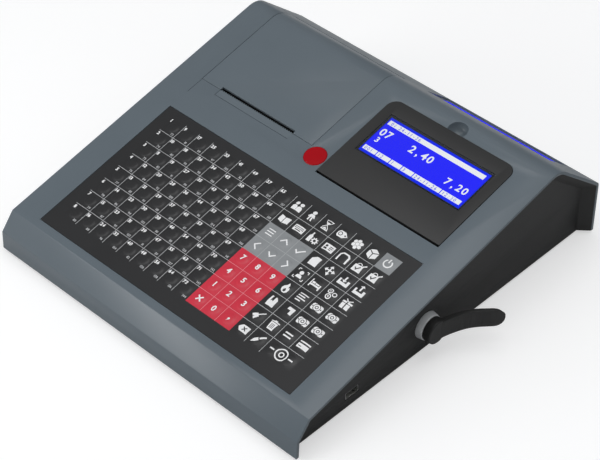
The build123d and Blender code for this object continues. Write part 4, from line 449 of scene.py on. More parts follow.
film_black = printed_film("polyester_film_black", "2A2A2B", "2F2F30")
film_red = printed_film("polyester_film_red", "D02C40", "D63146")
film_grey = printed_film("polyester_film_grey", "8C8F91", "929597")
seed = add_piece("seed", bpy.data.meshes.new("seed"))
bpy.context.scene.collection.objects.link(key_patch)
grid = {"Columns": columns, "Rows": rows, "Pitch": pitch}
sheet_mesh = baked("keyboard_sheet", seed, key_tree, Key=key_patch, Finish=film_black, **grid)
sheet_mesh.materials.clear()
for material in (film_black, film_red, film_grey):
    sheet_mesh.materials.append(material)
for face in sheet_mesh.polygons:
    face.material_index = zone(key_at(face.center.x, face.center.y))
    face.use_smooth = True
# The blank border round the keys, and the film's cut edge
border = bmesh.new()
border.from_mesh(sheet_mesh)
inner_edges = [edge for edge in border.edges if edge.is_boundary]
shift = Vector((-grid_x, film_along - grid_along, 0))
middle_x, middle_y = film_width / 2 - film_corner, film_length / 2 - film_corner
rim = []
for sx, sy, start in ((1, -1, -90), (1, 1, 0), (-1, 1, 90), (-1, -1, 180)):
    for step in range(corner_steps + 1):
        turn = math.radians(start + 90 * step / corner_steps)
        x = sx * middle_x + film_corner * math.cos(turn)
        y = sy * middle_y + film_corner * math.sin(turn)
        rim.append(border.verts.new(Vector((x, y, 0)) + shift))
rim_edges = [border.edges.new((a, b)) for a, b in zip(rim, rim[1:] + rim[:1])]
bmesh.ops.triangle_fill(border, use_beauty=True, use_dissolve=False, edges=inner_edges + rim_edges)
low = [border.verts.new(vertex.co - Vector((0, 0, film_thickness))) for vertex in rim]
for i, vertex in enumerate(rim):
    after = (i + 1) % len(rim)
    border.faces.new((vertex, low[i], low[after], rim[after]))
border.faces.new(low[::-1])
bmesh.ops.recalc_face_normals(border, faces=border.faces)
border.to_mesh(sheet_mesh)
border.free()
sheet_mesh.transform(deck_place(grid_x, grid_along, film_level))
keyboard_sheet = add_piece("keyboard_sheet", sheet_mesh)
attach(keyboard_sheet, "root")
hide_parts("keyboard_film")
# Grey silicone of the dome mat under the film
switch_silicone = moulded("grey_silicone", "57585A", "616264", 0.002, 0.00004, 0.62)
dress(switch_silicone, "keyboard_mat")

# ---------------------------------------------------------------- lines between the keys
# Thin light lines are printed between neighbouring keys. They stop at the outer border of the block.

line_width = 0.00034
line_lift = 0.00003
line_tree, given = new_tree(
    "lines_between_keys", Columns="Int", Rows="Int", Pitch="Float", Width="Float", Finish="Material",
)
# The upright lines first, then the level ones, each one key long
fewer = [one_less(line_tree, given[label]) for label in ("Columns", "Rows")]
both = add_node(line_tree, "GeometryNodeJoinGeometry")
for counts, sides in (
    ((fewer[0], given["Rows"]), (given["Width"], given["Pitch"])),
    ((given["Columns"], fewer[1]), (given["Pitch"], given["Width"])),
):
    strip = add_node(line_tree, "GeometryNodeMeshGrid", {0: sides[0], 1: sides[1], 2: 2, 3: 2})
    spots = spots_at(line_tree, given["Pitch"], *counts)
    line_tree.links.new(copies_at(line_tree, spots, strip.outputs[0]), both.inputs[0])
real = add_node(line_tree, "GeometryNodeRealizeInstances", {0: both.outputs[0]})
end_tree(line_tree, real.outputs[0], given["Finish"])


def printed_ink(name, shade, light_shade):
    """Screen-printed ink: opaque, dry and even."""
    return moulded(name, shade, light_shade, 0.0012, 0.00001, 0.5)


line_ink = printed_ink("printed_ink_grey", "C6C8C9", "CED0D1")
line_ink_pink = printed_ink("printed_ink_pink", "E58A93", "EA939B")
line_ink_pale = printed_ink("printed_ink_pale_grey", "AEB1B2", "B6B9BA")
line_mesh = baked("key_lines", seed, line_tree, Width=line_width, Finish=line_ink, **grid)
bpy.data.objects.remove(seed)
bpy.data.objects.remove(key_patch)
line_mesh.materials.clear()
for material in (line_ink, line_ink_pink, line_ink_pale):
    line_mesh.materials.append(material)
lines = bmesh.new()
lines.from_mesh(line_mesh)
left_out = []
for face in lines.faces:
    spot = face.calc_center_median()
    upright = abs(spot.x / pitch - round(spot.x / pitch)) < 0.1
    beside = 0.3 * pitch
    offset = Vector((beside, 0, 0)) if upright else Vector((0, beside, 0))
    keys = [key_at(*(spot + way * offset).xy) for way in (1, -1)]
    zones = [zone(key) for key in keys]
    # No line lies between two colours of print, nor across the wide key
    if zones[0] != zones[1] or (upright and keys[1] == (wide_column, rows)):
        left_out.append(face)
    face.material_index = zones[0]
bmesh.ops.delete(lines, geom=left_out, context="FACES")
lines.to_mesh(line_mesh)
lines.free()
line_mesh.transform(deck_place(grid_x, grid_along, film_level + line_lift))
key_lines = add_piece("key_lines", line_mesh)
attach(key_lines, "root")

# ---------------------------------------------------------------- key numbers
# The plain keys are numbered down each column in bold white figures, with the second level's number small
# and dimmer in the opposite corner. The red keys are the figures of a number pad. All are printed ink.


# A print is cut at every millimetre to follow the film. Its inks lie one over the other above it
print_step = 0.001
first_ink, next_ink = 0.00004, 0.00005


class Print:
    """Flat printed shapes, in metres, which lie on a surface: by default the film with its domes."""

    def __init__(self, name, inks, rise=dome):
        self.mesh = bmesh.new()
        self.name = name
        self.inks = inks
        self.rise = rise

    def polygon(self, points, ink, holes=()):
        """A filled outline, cut into pieces that can follow the film."""
        rings = [[Vector((x, y, 0)) for x, y in ring] for ring in (points, *holes)]
        flat = [spot for ring in rings for spot in ring]
        made = bmesh.new()
        corners = [made.verts.new(spot) for spot in flat]
        for triangle in tessellate_polygon(rings):
            if len(set(triangle)) == 3:
                made.faces.new([corners[i] for i in triangle])
        for axis, normal in ((0, (1, 0, 0)), (1, (0, 1, 0))):
            low = min(spot[axis] for spot in flat)
            high = max(spot[axis] for spot in flat)
            cut = math.ceil(low / print_step) * print_step
            while cut < high:
                where = (cut, 0, 0) if axis == 0 else (0, cut, 0)
                geometry = made.verts[:] + made.edges[:] + made.faces[:]
                bmesh.ops.bisect_plane(made, geom=geometry, plane_co=where, plane_no=normal, dist=1e-7)
                cut += print_step
        bmesh.ops.recalc_face_normals(made, faces=made.faces)
        if made.faces and sum(face.normal.z * face.calc_area() for face in made.faces) < 0:
            bmesh.ops.reverse_faces(made, faces=made.faces)
        copies = {}
        for vertex in made.verts:
            x, y, _ = vertex.co
            copies[vertex] = self.mesh.verts.new((x, y, self.rise(x, y) + first_ink + next_ink * ink))
        for face in made.faces:
            new_face = self.mesh.faces.new([copies[vertex] for vertex in face.verts])
            new_face.material_index = ink
        made.free()

    def finish(self, place, body, slot):
        """Makes the printed piece."""
        mesh = bpy.data.meshes.new(self.name)
        self.mesh.to_mesh(mesh)
        self.mesh.free()
        for ink in self.inks:
            mesh.materials.append(ink)
        mesh.transform(place)
        piece = add_piece(self.name, mesh)
        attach(piece, body)


figure_shapes = {}


def figure(sign, boldness):
    """Triangles of one sign of the built-in font, and where it starts and ends along its line."""
    if (sign, boldness) not in figure_shapes:
        text = bpy.data.curves.new("figure", "FONT")
        text.body = sign
        text.offset = boldness
        text.resolution_u = 3
        item = bpy.data.objects.new("figure", text)
        bpy.context.scene.collection.objects.link(item)
        graph = bpy.context.evaluated_depsgraph_get()
        graph.update()
        mesh = bpy.data.meshes.new_from_object(item.evaluated_get(graph), depsgraph=graph)
        xs = [vertex.co.x for vertex in mesh.vertices]
        triangles = [[tuple(mesh.vertices[i].co.xy) for i in face.vertices] for face in mesh.polygons]
        figure_shapes[sign, boldness] = (triangles, min(xs), max(xs))
        bpy.data.objects.remove(item)
        bpy.data.meshes.remove(mesh)
        bpy.data.curves.remove(text)
    return figure_shapes[sign, boldness]


# Cap height of the figures and the gap between them, as shares of the font's size
cap_share = 0.729
figure_gap = 0.07


def write_figures(target, number, x, y, height, ink, boldness=0.03, align=0.0):
    """Prints a number: x is its left edge (align 0) or its middle (0.5), and y its middle height."""
    scale = height / cap_share
    signs = [figure(sign, boldness) for sign in number]
    width = sum(high - low for _, low, high in signs) + figure_gap * (len(signs) - 1)
    start = x - align * width * scale
    for triangles, low, high in signs:
        for triangle in triangles:
            points = [(start + (px - low) * scale, y + (py - cap_share / 2) * scale) for px, py in triangle]
            target.polygon(points, ink)
        start += (high - low + figure_gap) * scale


def key_middle(column, row):
    """Middle of a key, from the middle of the grid."""
    return (column - (columns + 1) / 2) * pitch, ((rows + 1) / 2 - row) * pitch


ink_white = printed_ink("printed_ink_white", "EFEFEF", "F5F5F5")
ink_dim = printed_ink("printed_ink_dim_grey", "BEBFC0", "C6C7C8")
numbers = Print("key_numbers", (ink_white, ink_dim))
numbered_columns = 9
level_size = numbered_columns * rows
# Where a number stands from its key's middle, and its height: the first level, the second and the pad
first_x, first_y, first_height = -0.0070, 0.0049, 0.0030
second_x, second_y, second_height = 0.0043, -0.0055, 0.0021
pad_y, pad_height = 0.0012, 0.0050
for column in range(1, numbered_columns + 1):
    for row in range(1, rows + 1):
        x, y = key_middle(column, row)
        value = rows * (column - 1) + row
        write_figures(numbers, str(value), x + first_x, y + first_y, first_height, 0, 0.045)
        second = str(value + level_size)
        write_figures(numbers, second, x + second_x, y + second_y, second_height, 1, 0.02, 0.5)
pad_places = [(c, r) for r in (5, 6, 7) for c in (10, 11, 12)] + [(11, 8)]
for number, place in zip("7894561230", pad_places):
    x, y = key_middle(*place)
    write_figures(numbers, number, x, y + (0.0 if number == "0" else pad_y), pad_height, 0, 0.03, 0.5)
numbers.finish(deck_place(grid_x, grid_along, film_level), "root", "keyboard_film")

# ---------------------------------------------------------------- pictograms on the keys
# The function keys carry plain signs, printed in white: people, a cube, a table, arrows, banknotes and so
# on. Dark details on a sign are the film's own black, printed over the white.


class Signs(Print):
    """Printed signs, each drawn in millimetres from the middle of its key."""

    def at(self, column, row):
        self.middle = key_middle(column, row)
        return self

    def shape(self, points, ink=0):
        x, y = self.middle
        self.polygon([(x + px / 1000, y + py / 1000) for px, py in points], ink)
        return self

    def plate(self, left, low, right, high, ink=0):
        return self.shape([(left, low), (right, low), (right, high), (left, high)], ink)

    def disc(self, x, y, radius, ink=0, sides=20):
        turns = [2 * math.pi * i / sides for i in range(sides)]
        return self.shape([(x + radius * math.cos(t), y + radius * math.sin(t)) for t in turns], ink)

    def line(self, points, width, ink=0):
        """A line of straight runs with mitred corners."""
        spots = [Vector(point) for point in points]
        sides = ([], [])
        for i, spot in enumerate(spots):
            before = (spot - spots[i - 1]).normalized() if i else (spots[1] - spot).normalized()
            after = (spots[i + 1] - spot).normalized() if i + 1 < len(spots) else before
            across = Vector((-(before + after).y, (before + after).x)).normalized()
            reach = width / 2 / max(0.3, across.dot(Vector((-before.y, before.x))))
            for side, sign in zip(sides, (1, -1)):
                side.append(spot + across * reach * sign)
        for i in range(len(spots) - 1):
            self.shape([sides[1][i], sides[1][i + 1], sides[0][i + 1], sides[0][i]], ink)
        return self

    def arc(self, x, y, radius, width, start=0, end=360, ink=0):
        count = max(4, round((end - start) / 15))
        turns = [math.radians(start + (end - start) * i / count) for i in range(count + 1)]
        near, far = radius - width / 2, radius + width / 2
        for a, b in zip(turns, turns[1:]):
            corners = ((near, a), (far, a), (far, b), (near, b))
            self.shape([(x + r * math.cos(t), y + r * math.sin(t)) for r, t in corners], ink)
        return self


ink_black = printed_ink("printed_ink_black", "2B2B2C", "303031")
signs = Signs("key_signs", (ink_white, ink_black))
# Far row: two people, one person, an hourglass, a price tag, a honeycomb, a cube and the power sign
for side in (-2.3, 2.3):
    signs.at(10, 1).disc(side, 2.9, 1.7).shape([
        (side - 2.2, -3.9), (side + 2.2, -3.9), (side + 2.2, -0.6), (side + 1.1, 0.8), (side - 1.1, 0.8),
        (side - 2.2, -0.6),
    ])
signs.at(11, 1).disc(0, 3.2, 1.8).line([(-1.4, 0.6), (-2.8, -1.8)], 1.1).line([(1.4, 0.6), (2.8, -1.8)], 1.1)
signs.shape([(-1.9, 1.2), (-1.7, -1.4), (1.7, -1.4), (1.9, 1.2)]).line([(-1.0, -1.4), (-1.4, -4.8)], 1.3)
signs.line([(1.0, -1.4), (1.4, -4.8)], 1.3)
signs.at(12, 1)
for side in (-1, 1):
    signs.plate(-3.3, side * 4.4 - 0.4, 3.3, side * 4.4 + 0.4)
    signs.line([(-2.6, side * 4.2), (-2.6, side * 3.0), (0, 0), (2.6, side * 3.0), (2.6, side * 4.2)], 0.6)
signs.shape([(0, 0.6), (1.5, 2.4), (-1.5, 2.4)]).shape([(-1.9, -3.8), (1.9, -3.8), (0, -2.0)])
signs.at(13, 1)
signs.shape([(-4.9, -1.6), (-3.4, -3.1), (1.6, -3.1), (5.0, 0.0), (1.6, 3.1), (-3.4, 3.1), (-4.9, 1.6)])
signs.arc(-1.8, 0, 1.6, 0.6, ink=1).disc(2.9, 0, 0.7, 1)
signs.at(14, 1).disc(0, 0, 1.75, sides=6)
for turn in range(30, 390, 60):
    signs.disc(3.25 * math.cos(math.radians(turn)), 3.25 * math.sin(math.radians(turn)), 1.75, sides=6)
signs.at(15, 1).shape([(0, 0.5), (4.2, 2.8), (0, 5.0), (-4.2, 2.8)])
for side in (-1, 1):
    signs.shape([(side * 0.35, -5.0), (side * 4.4, -2.6), (side * 4.4, 2.1), (side * 0.35, -0.2)])
signs.at(16, 1).arc(0, -0.3, 3.4, 1.15, 125, 415).plate(-0.55, 0.4, 0.55, 4.4)
# Second row: an open book, a keyboard, a bottle with a gear, an identity card, a table and two bags
for side in (-1, 1):
    signs.at(10, 2).shape([(side * 0.3, -3.6), (side * 4.9, -2.4), (side * 4.9, 3.4), (side * 0.3, 2.2)])
signs.at(11, 2).plate(-5.0, -2.9, 5.0, 2.9)
for x in range(-3, 4):
    signs.plate(x * 1.25 - 0.4, 0.9, x * 1.25 + 0.4, 1.7, 1)
    signs.plate(x * 1.25 - 0.4, -0.5, x * 1.25 + 0.4, 0.3, 1)
signs.plate(-2.6, -2.0, 2.6, -1.2, 1)
signs.at(12, 2)
signs.shape([
    (-4.9, -4.4), (-1.1, -4.4), (-1.1, 0.9), (-2.3, 2.4), (-2.3, 4.8), (-3.7, 4.8), (-3.7, 2.4),
    (-4.9, 0.9),
])
signs.arc(2.3, -1.7, 1.7, 1.1)
for turn in range(8):
    c, s = math.cos(math.pi * turn / 4), math.sin(math.pi * turn / 4)
    signs.line([(2.3 + 2.0 * c, -1.7 + 2.0 * s), (2.3 + 3.0 * c, -1.7 + 3.0 * s)], 0.9)
signs.at(13, 2).plate(-5.0, -3.2, 5.0, 3.2).disc(-2.4, 0.9, 1.1, 1)
signs.shape([(-4.2, -2.2), (-0.6, -2.2), (-1.2, -0.7), (-3.6, -0.7)], 1)
signs.plate(0.6, 1.0, 4.0, 1.6, 1).plate(0.6, -0.4, 4.0, 0.2, 1).plate(0.6, -1.8, 3.0, -1.2, 1)
signs.at(14, 2).line([(-4.2, -4.4), (-4.2, 1.7), (-2.4, 3.5), (2.4, 3.5), (4.2, 1.7), (4.2, -4.4)], 1.5)
for column in (15, 16):
    signs.at(column, 2).shape([(-4.8, -4.6), (3.6, -4.6), (3.2, 1.6), (-4.4, 1.6)])
    signs.arc(-0.6, 1.6, 1.9, 0.7, 0, 180)
    signs.line([(-2.4, -1.2), (-0.9, -2.9), (1.6, 0.4)], 0.9, 1).line([(1.6, 0.4), (4.6, 4.3)], 1.1)
# Third row: a list, up, a tick, a sheet, four ways, and trays with an arrow in and out
for y in (-2.5, 0.0, 2.5):
    signs.at(10, 3).plate(-3.4, y - 0.45, 3.4, y + 0.45)
signs.at(11, 3).line([(-3.5, -1.6), (0, 1.9), (3.5, -1.6)], 1.1)
signs.at(12, 3).line([(-3.8, -0.1), (-1.2, -2.6), (3.9, 2.6)], 1.2)
signs.at(13, 3).shape([(-3.8, -4.4), (3.8, -4.4), (3.8, 4.4), (-0.6, 4.4), (-3.8, 1.4)])
signs.at(14, 3).plate(-3.6, -0.55, 3.6, 0.55).plate(-0.55, -3.6, 0.55, 3.6)
for c, s in ((1, 0), (0, 1), (-1, 0), (0, -1)):
    signs.shape([
        (5.0 * c, 5.0 * s), (2.6 * c - 1.9 * s, 2.6 * s + 1.9 * c), (2.6 * c + 1.9 * s, 2.6 * s - 1.9 * c),
    ])
for column, way in ((15, -1), (16, 1)):
    signs.at(column, 3)
    signs.shape([
        (-4.9, -4.6), (4.9, -4.6), (4.9, 0.6), (2.9, 0.6), (2.9, -2.2), (-2.9, -2.2), (-2.9, 0.6),
        (-4.9, 0.6),
    ])
    signs.plate(-0.7, -0.8, 0.7, 3.6)
    signs.shape([(-2.2, 1.5 + way * 1.6), (2.2, 1.5 + way * 1.6), (0, 1.5 + way * 3.6)])
# Fourth row: left, down, right, a person in a frame, a bed, coins and a parcel
signs.at(10, 4).line([(1.7, -3.5), (-1.9, 0), (1.7, 3.5)], 1.1)
signs.at(11, 4).line([(-3.5, 1.6), (0, -1.9), (3.5, 1.6)], 1.1)
signs.at(12, 4).line([(-1.7, -3.5), (1.9, 0), (-1.7, 3.5)], 1.1)
signs.at(13, 4).disc(0, 1.4, 1.8)
signs.shape([(-2.9, -3.6), (2.9, -3.6), (2.2, -1.3), (0.8, -0.6), (-0.8, -0.6), (-2.2, -1.3)])
for sx in (-1, 1):
    for sy in (-1, 1):
        signs.line([(sx * 2.9, sy * 4.7), (sx * 4.7, sy * 4.7), (sx * 4.7, sy * 2.9)], 0.7)
signs.at(14, 4).plate(-5.0, -3.9, -3.9, 3.5).plate(3.9, -3.9, 5.0, 0.9).plate(-3.9, -2.4, 3.9, -0.9)
signs.plate(-3.4, -0.4, -0.7, 1.4).plate(-0.2, -0.4, 3.4, 0.9)
signs.at(15, 4).arc(-2.0, 2.2, 1.9, 0.9).arc(2.9, 0.9, 1.6, 0.8).arc(-0.6, -2.7, 2.0, 0.9)
signs.disc(-0.6, -2.7, 0.7).disc(-2.0, 2.2, 0.6)
signs.at(16, 4).plate(-3.9, -4.6, 3.9, 0.1).plate(-4.6, 0.6, 4.6, 2.3).line([(-3.0, 4.7), (-0.2, 2.4)], 0.9)
signs.line([(3.0, 4.7), (0.2, 2.4)], 0.9).plate(-0.5, -4.6, 0.5, 2.3, 1)
# Near rows: a flame, lines of text, banknotes, a marked sheet, two sheets, a broom, a bin, equals and a
# bank card
signs.at(13, 5)
signs.shape([
    (-0.4, 5.0), (-0.9, 2.4), (-2.6, 0.6), (-3.3, -1.6), (-2.6, -3.6), (-1.0, -4.8), (1.2, -4.8),
    (2.9, -3.4), (3.3, -1.2), (2.6, 1.0), (1.6, 0.2), (1.3, 2.8),
])
signs.shape([(0.1, -0.6), (1.3, -2.4), (0.7, -3.9), (-0.7, -3.9), (-1.2, -2.6)], 1)
for y, right in ((3.4, 4.2), (1.2, 2.6), (-1.0, 4.2), (-3.2, 1.2)):
    signs.at(14, 5).plate(-4.0, y - 0.5, right, y + 0.5)
for place in ((15, 5), (16, 5), (15, 6), (16, 6)):
    signs.at(*place)
    signs.shape([
        (-5.1, -2.0), (-4.1, -3.0), (4.1, -3.0), (5.1, -2.0), (5.1, 2.0), (4.1, 3.0), (-4.1, 3.0),
        (-5.1, 2.0),
    ])
    signs.arc(0, 0, 3.0, 0.5, ink=1).arc(0, 0, 1.2, 0.6, ink=1)
    for sx in (-1, 1):
        signs.disc(sx * 4.0, 0, 0.5, 1)
signs.at(13, 6).shape([(-3.6, -4.6), (3.6, -4.6), (3.6, 2.4), (1.4, 4.6), (-3.6, 4.6)])
signs.shape([(-1.8, 4.6), (0.4, 4.6), (0.4, -0.4), (-0.7, 0.9), (-1.8, -0.4)], 1)
signs.at(14, 6).plate(-1.6, -1.8, 4.4, 4.6).plate(-4.4, -4.6, 1.6, 1.8, 1).plate(-3.8, -4.0, 1.0, 1.2)
signs.at(13, 7).line([(4.4, 4.6), (0.4, 0.4)], 0.9)
signs.shape([(-0.8, 1.6), (1.6, -0.8), (-1.0, -4.6), (-4.6, -1.0)])
signs.line([(-1.9, -2.0), (-3.0, -3.1)], 0.5, 1)
signs.at(14, 7).shape([(-2.6, -4.6), (2.6, -4.6), (3.3, 2.2), (-3.3, 2.2)]).plate(-4.0, 2.7, 4.0, 3.7)
signs.plate(-1.3, 3.7, 1.3, 4.6)
for x in (-1.3, 0.0, 1.3):
    signs.plate(x - 0.25, -3.4, x + 0.25, 1.0, 1)
signs.at(15, 7).plate(-3.6, 0.8, 3.6, 2.1).plate(-3.6, -2.1, 3.6, -0.8)
signs.at(16, 7).plate(-5.0, -3.2, 5.0, 3.2).plate(-5.0, 0.7, 5.0, 1.9, 1).plate(-4.0, -1.9, -0.8, -1.3, 1)
# Nearest row: clear, a brush and the wide cash key; and the pad's cross and comma
signs.at(13, 8).shape([(-5.0, 0.0), (-2.2, -3.1), (4.8, -3.1), (4.8, 3.1), (-2.2, 3.1)])
signs.line([(-0.6, -1.5), (2.6, 1.5)], 0.8, 1).line([(-0.6, 1.5), (2.6, -1.5)], 0.8, 1)
signs.at(14, 8).line([(4.2, 4.4), (0.6, 0.6)], 1.5)
signs.shape([(0.9, -0.9), (-0.9, 0.9), (-3.2, -1.2), (-4.6, -4.6), (-1.2, -3.2)])
signs.at(wide_column, rows)
signs.middle = (signs.middle[0] + pitch / 2, signs.middle[1])
signs.arc(0, 0, 4.9, 1.1).arc(0, 0, 1.9, 1.0).plate(-11.2, -0.6, -7.0, 0.6).plate(7.0, -0.6, 11.2, 0.6)
signs.at(10, 8).line([(-2.3, -2.3), (2.3, 2.3)], 1.2).line([(-2.3, 2.3), (2.3, -2.3)], 1.2)
signs.at(12, 8).disc(0.2, -0.2, 0.95).shape([(1.1, -0.4), (-0.9, -2.6), (-0.3, -0.6)])
signs.finish(deck_place(grid_x, grid_along, film_level), "root", "keyboard_film")

# ---------------------------------------------------------------- operator's display
# The bezel is a flat dark moulding on a tilting case; past its far edge the cover has a finger bowl. Behind
# a clear window lies a blue backlit liquid-crystal panel with white characters.

bezel_abs = moulded("dark_grey_abs_matt", "303030", "353535", 0.0010, 0.00003, 0.5)
softened("display_front", "display_bezel", 0.0003, "display", bezel_abs)
dress(case_abs, "display_back", "display_well")


def clear_sheet():
    """Clear acrylic: light goes straight through, a little tinted, and its face mirrors faintly."""
    material, tree = new_material("clear_acrylic")
    place = add_node(tree, "ShaderNodeTexCoord").outputs["Object"]
    gloss = add_node(tree, "ShaderNodeMapRange", {0: noise(tree, place, 90.0), 3: 0.06, 4: 0.10})
    through = add_node(tree, "ShaderNodeBsdfTransparent", {"Color": linear("F4F6F8")})
    face = add_node(tree, "ShaderNodeBsdfGlossy", {"Color": (1, 1, 1, 1), "Roughness": gloss.outputs[0]})
    edge = add_node(tree, "ShaderNodeFresnel", {"IOR": 1.49})
    weaker = add_node(tree, "ShaderNodeMath", {0: edge.outputs[0], 1: 0.12}, operation="MULTIPLY")
    layers = {0: weaker.outputs[0], 1: through.outputs[0], 2: face.outputs[0]}
    mix = add_node(tree, "ShaderNodeMixShader", layers)
    add_node(tree, "ShaderNodeOutputMaterial", {"Surface": mix.outputs[0]})
    return material


cell = 0.0016


def backlit(name, code, strength):
    """A lit panel: it glows evenly, with a trace of its cells, which are drawn coarse enough to show."""
    material, tree = new_material(name)
    place = add_node(tree, "ShaderNodeTexCoord").outputs["Object"]
    levels = {0: noise(tree, place, 1 / cell, 1.0), 3: strength * 0.97, 4: strength * 1.03}
    glow = add_node(tree, "ShaderNodeMapRange", levels)
    unlit = {"Base Color": (0.01, 0.01, 0.02, 1), "Roughness": 0.5, "Specular IOR Level": 0.0}
    lit = {"Emission Color": linear(code), "Emission Strength": glow.outputs[0]}
    shader = add_node(tree, "ShaderNodeBsdfPrincipled", {**unlit, **lit})
    add_node(tree, "ShaderNodeOutputMaterial", {"Surface": shader.outputs[0]})
    return material


acrylic = clear_sheet()
lcd_edge = backlit("lcd_backlight_rim", "0A2CF6", 0.95)
lcd_field = backlit("lcd_backlight_field", "2426FF", 1.08)
lcd_white = backlit("lcd_white_segments", "FFFFFF", 1.0)
dress(acrylic, "display_glass")
dress(lcd_edge, "display_panel")

window_x, window_along = 0.0718, 0.2281
window_width, window_length = 0.1028, 0.0400
lit_level = -0.0005


def no_rise(x, y):
    """A flat surface rises nowhere."""
    return 0.0


screen = Print("screen_content", (lcd_field, lcd_white, lcd_edge), no_rise)


def bar(left, low, right, high, ink):
    """A lit bar of the screen, in millimetres from the window's near left corner."""
    corners = ((left, low), (right, low), (right, high), (left, high))
    screen.polygon([(x / 1000, y / 1000) for x, y in corners], ink)


def characters(line, x, step, foot, head, ink, boldness=0.0):
    """A line of characters in millimetres, one in each place of the screen's grid."""
    height, middle = (head - foot) / 1000, (foot + head) / 2000
    for i, sign in enumerate(line):
        if sign != " ":
            write_figures(screen, sign, (x + (i + 0.5) * step) / 1000, middle, height, ink, boldness, 0.5)


small_step = 2.9
bar(1.0, 2.2, 101.8, 37.8, 0)
bar(1.6, 32.6, 99.6, 37.2, 1)
characters("01", 4.0, small_step, 33.3, 36.5, 2)
characters("24-11-26", 12.0, small_step, 33.3, 36.5, 2)
characters("07   2,40", 1.8, 6.1, 20.9, 28.3, 1, 0.02)
characters("3", 3.0, 6.0, 13.4, 18.8, 1, 0.02)
characters("7,20", 76.0, 5.7, 12.6, 19.4, 1, 0.02)
for left, right, signs_shown in (
    (1.6, 14.6, "001"), (15.4, 28.4, "12"), (29.2, 40.4, "1"), (41.2, 52.4, "3"), (53.2, 80.4, "24-11-26"),
    (81.2, 100.4, "12:30"),
):
    bar(left, 2.8, right, 7.2, 1)
    characters(signs_shown, left + 0.8, small_step, 3.4, 6.6, 2)
screen_place = deck_place(window_x - window_width / 2, window_along - window_length / 2, lit_level)
screen.finish(screen_place, "display", "display_panel")

# ---------------------------------------------------------------- paper lid and tear bar
# The lid is a moulding in the cover's plastic, hinged at its far edge. It carries the rubber platen, and its
# near edge leaves the slot for the paper, under a pressed steel bar with a row of teeth.

softened("lid_shell", "paper_lid", 0.0002, "lid", cover_abs)
# The bar is steel, painted in the cover's grey
painted_steel = moulded("grey_painted_steel", "626C73", "687279", 0.0012, 0.00001, 0.4)
dress(painted_steel, "tear_bar")

# ---------------------------------------------------------------- red release button
# A round push button of glossy red ABS stands just proud of the deck, in a close hole. Its edge is
# chamfered and softly rounded.

weak_gloss = {"Specular IOR Level": 0.2}
red_abs = moulded("red_abs_gloss", "A40512", "AC0816", 0.0014, 0.00001, 0.3, **weak_gloss)
softened("button_cap", "release_button", 0.0003, "button", red_abs)

# ---------------------------------------------------------------- customer's display
# Behind a clear window in the rear slope a second lit panel shows the amount to the customer. The window is
# framed by the recess of the cover.

customer_lcd = backlit("customer_panel_glow", "0A14FF", 1.0)
dress(acrylic, "customer_window")
dress(customer_lcd, "customer_panel")

# ---------------------------------------------------------------- lock and key
# A turned and chromed collar holds the reader of a coded key. The key is a steel can in a black moulded
# grip with a long flat handle.

# Satin chrome with a soft gloss. Its colour is painted pale and is only partly metallic: a painted reflection
# that stands in for the bright room that real chrome would mirror
chrome_painted_reflection = moulded("satin_chrome_painted_reflection", "E4E6E7", "D8DADB", 0.0005, 0.00001, 0.32, Metallic=0.3)
softened("lock_ring", "lock_collar", 0.0004, "root", chrome_painted_reflection)
softened("key_grip", "key_handle", 0.0008, "key", case_abs)
dress(case_abs, "lock_reader")

# ---------------------------------------------------------------- floor and lights
# A plain pale floor and soft studio light: a bright room, a soft box above the front left, one overhead to
# the right, and a long low one at the front left whose gleam runs along the bevel.

floor_reach = 6
floor_mesh = bpy.data.meshes.new("floor")
corners = [(x * floor_reach, y * floor_reach, 0) for x, y in ((-1, -1), (1, -1), (1, 1), (-1, 1))]
floor_mesh.from_pydata(corners, [], [(0, 1, 2, 3)])
floor = bpy.data.objects.new("floor", floor_mesh)
bpy.context.scene.collection.objects.link(floor)
paper_floor, tree = new_material("white_studio_floor")
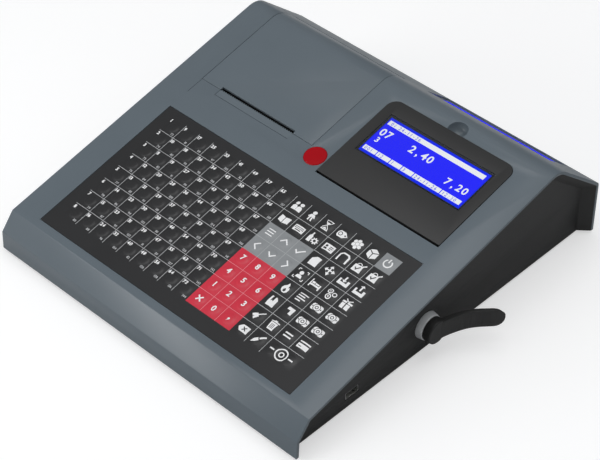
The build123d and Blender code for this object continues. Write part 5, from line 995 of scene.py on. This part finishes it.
# Its glow is for the camera alone, so the floor looks white but lights nothing
path = add_node(tree, "ShaderNodeLightPath").outputs
seen = add_node(tree, "ShaderNodeMath", {0: path["Is Camera Ray"], 1: 0.5}, operation="MULTIPLY")
matt = add_node(tree, "ShaderNodeBsdfDiffuse", {"Color": (0.6, 0.6, 0.6, 1)})
glow = add_node(tree, "ShaderNodeEmission", {"Color": (1, 1, 1, 1), "Strength": seen.outputs[0]})
both = add_node(tree, "ShaderNodeAddShader", {0: matt.outputs[0], 1: glow.outputs[0]})
add_node(tree, "ShaderNodeOutputMaterial", {"Surface": both.outputs[0]})
floor_mesh.materials.append(paper_floor)

world = bpy.data.worlds.new("studio")
world.use_nodes = True
bpy.context.scene.world = world
tree = world.node_tree
tree.nodes.clear()
path = add_node(tree, "ShaderNodeLightPath").outputs
# Behind the object the room is plain white
seen = {0: path["Is Camera Ray"], 1: path["Is Transmission Ray"]}
direct = add_node(tree, "ShaderNodeMath", seen, operation="MAXIMUM")
# The room lights the object at the first strength, and is mirrored in it at the second
dimmer = add_node(tree, "ShaderNodeMapRange", {0: path["Is Glossy Ray"], 3: 0.43, 4: 0.16})
room = add_node(tree, "ShaderNodeBackground", {"Color": (0.95, 0.97, 1.0, 1), "Strength": dimmer.outputs[0]})
white = add_node(tree, "ShaderNodeBackground", {"Color": (1, 1, 1, 1), "Strength": 1.0})
mix = add_node(tree, "ShaderNodeMixShader", {0: direct.outputs[0], 1: room.outputs[0], 2: white.outputs[0]})
add_node(tree, "ShaderNodeOutputWorld", {"Surface": mix.outputs[0]})


object_middle = Vector((0, 0, 0.05))


def soft_box(name, direction, distance, width, height, power):
    """A rectangular lamp that faces the middle of the object."""
    lamp = bpy.data.lights.new(name, "AREA")
    lamp.shape = "RECTANGLE"
    lamp.size = width
    lamp.size_y = height
    lamp.energy = power
    box = bpy.data.objects.new(name, lamp)
    spot = Vector(direction).normalized() * distance + object_middle
    box.location = spot
    box.rotation_euler = (object_middle - spot).to_track_quat("-Z", "Y").to_euler()
    bpy.context.scene.collection.objects.link(box)


soft_box("strip_box", (-0.82, -1.25, 0.57), 1.61, 1.3, 0.15, 7.0)
soft_box("key_box", (-0.3, -0.5, 0.85), 2.0, 0.9, 0.7, 3.0)
soft_box("top_box", (0.16, 0.04, 1.0), 1.15, 0.9, 0.9, 4.6)

bpy.context.scene.view_settings.view_transform = "Standard"
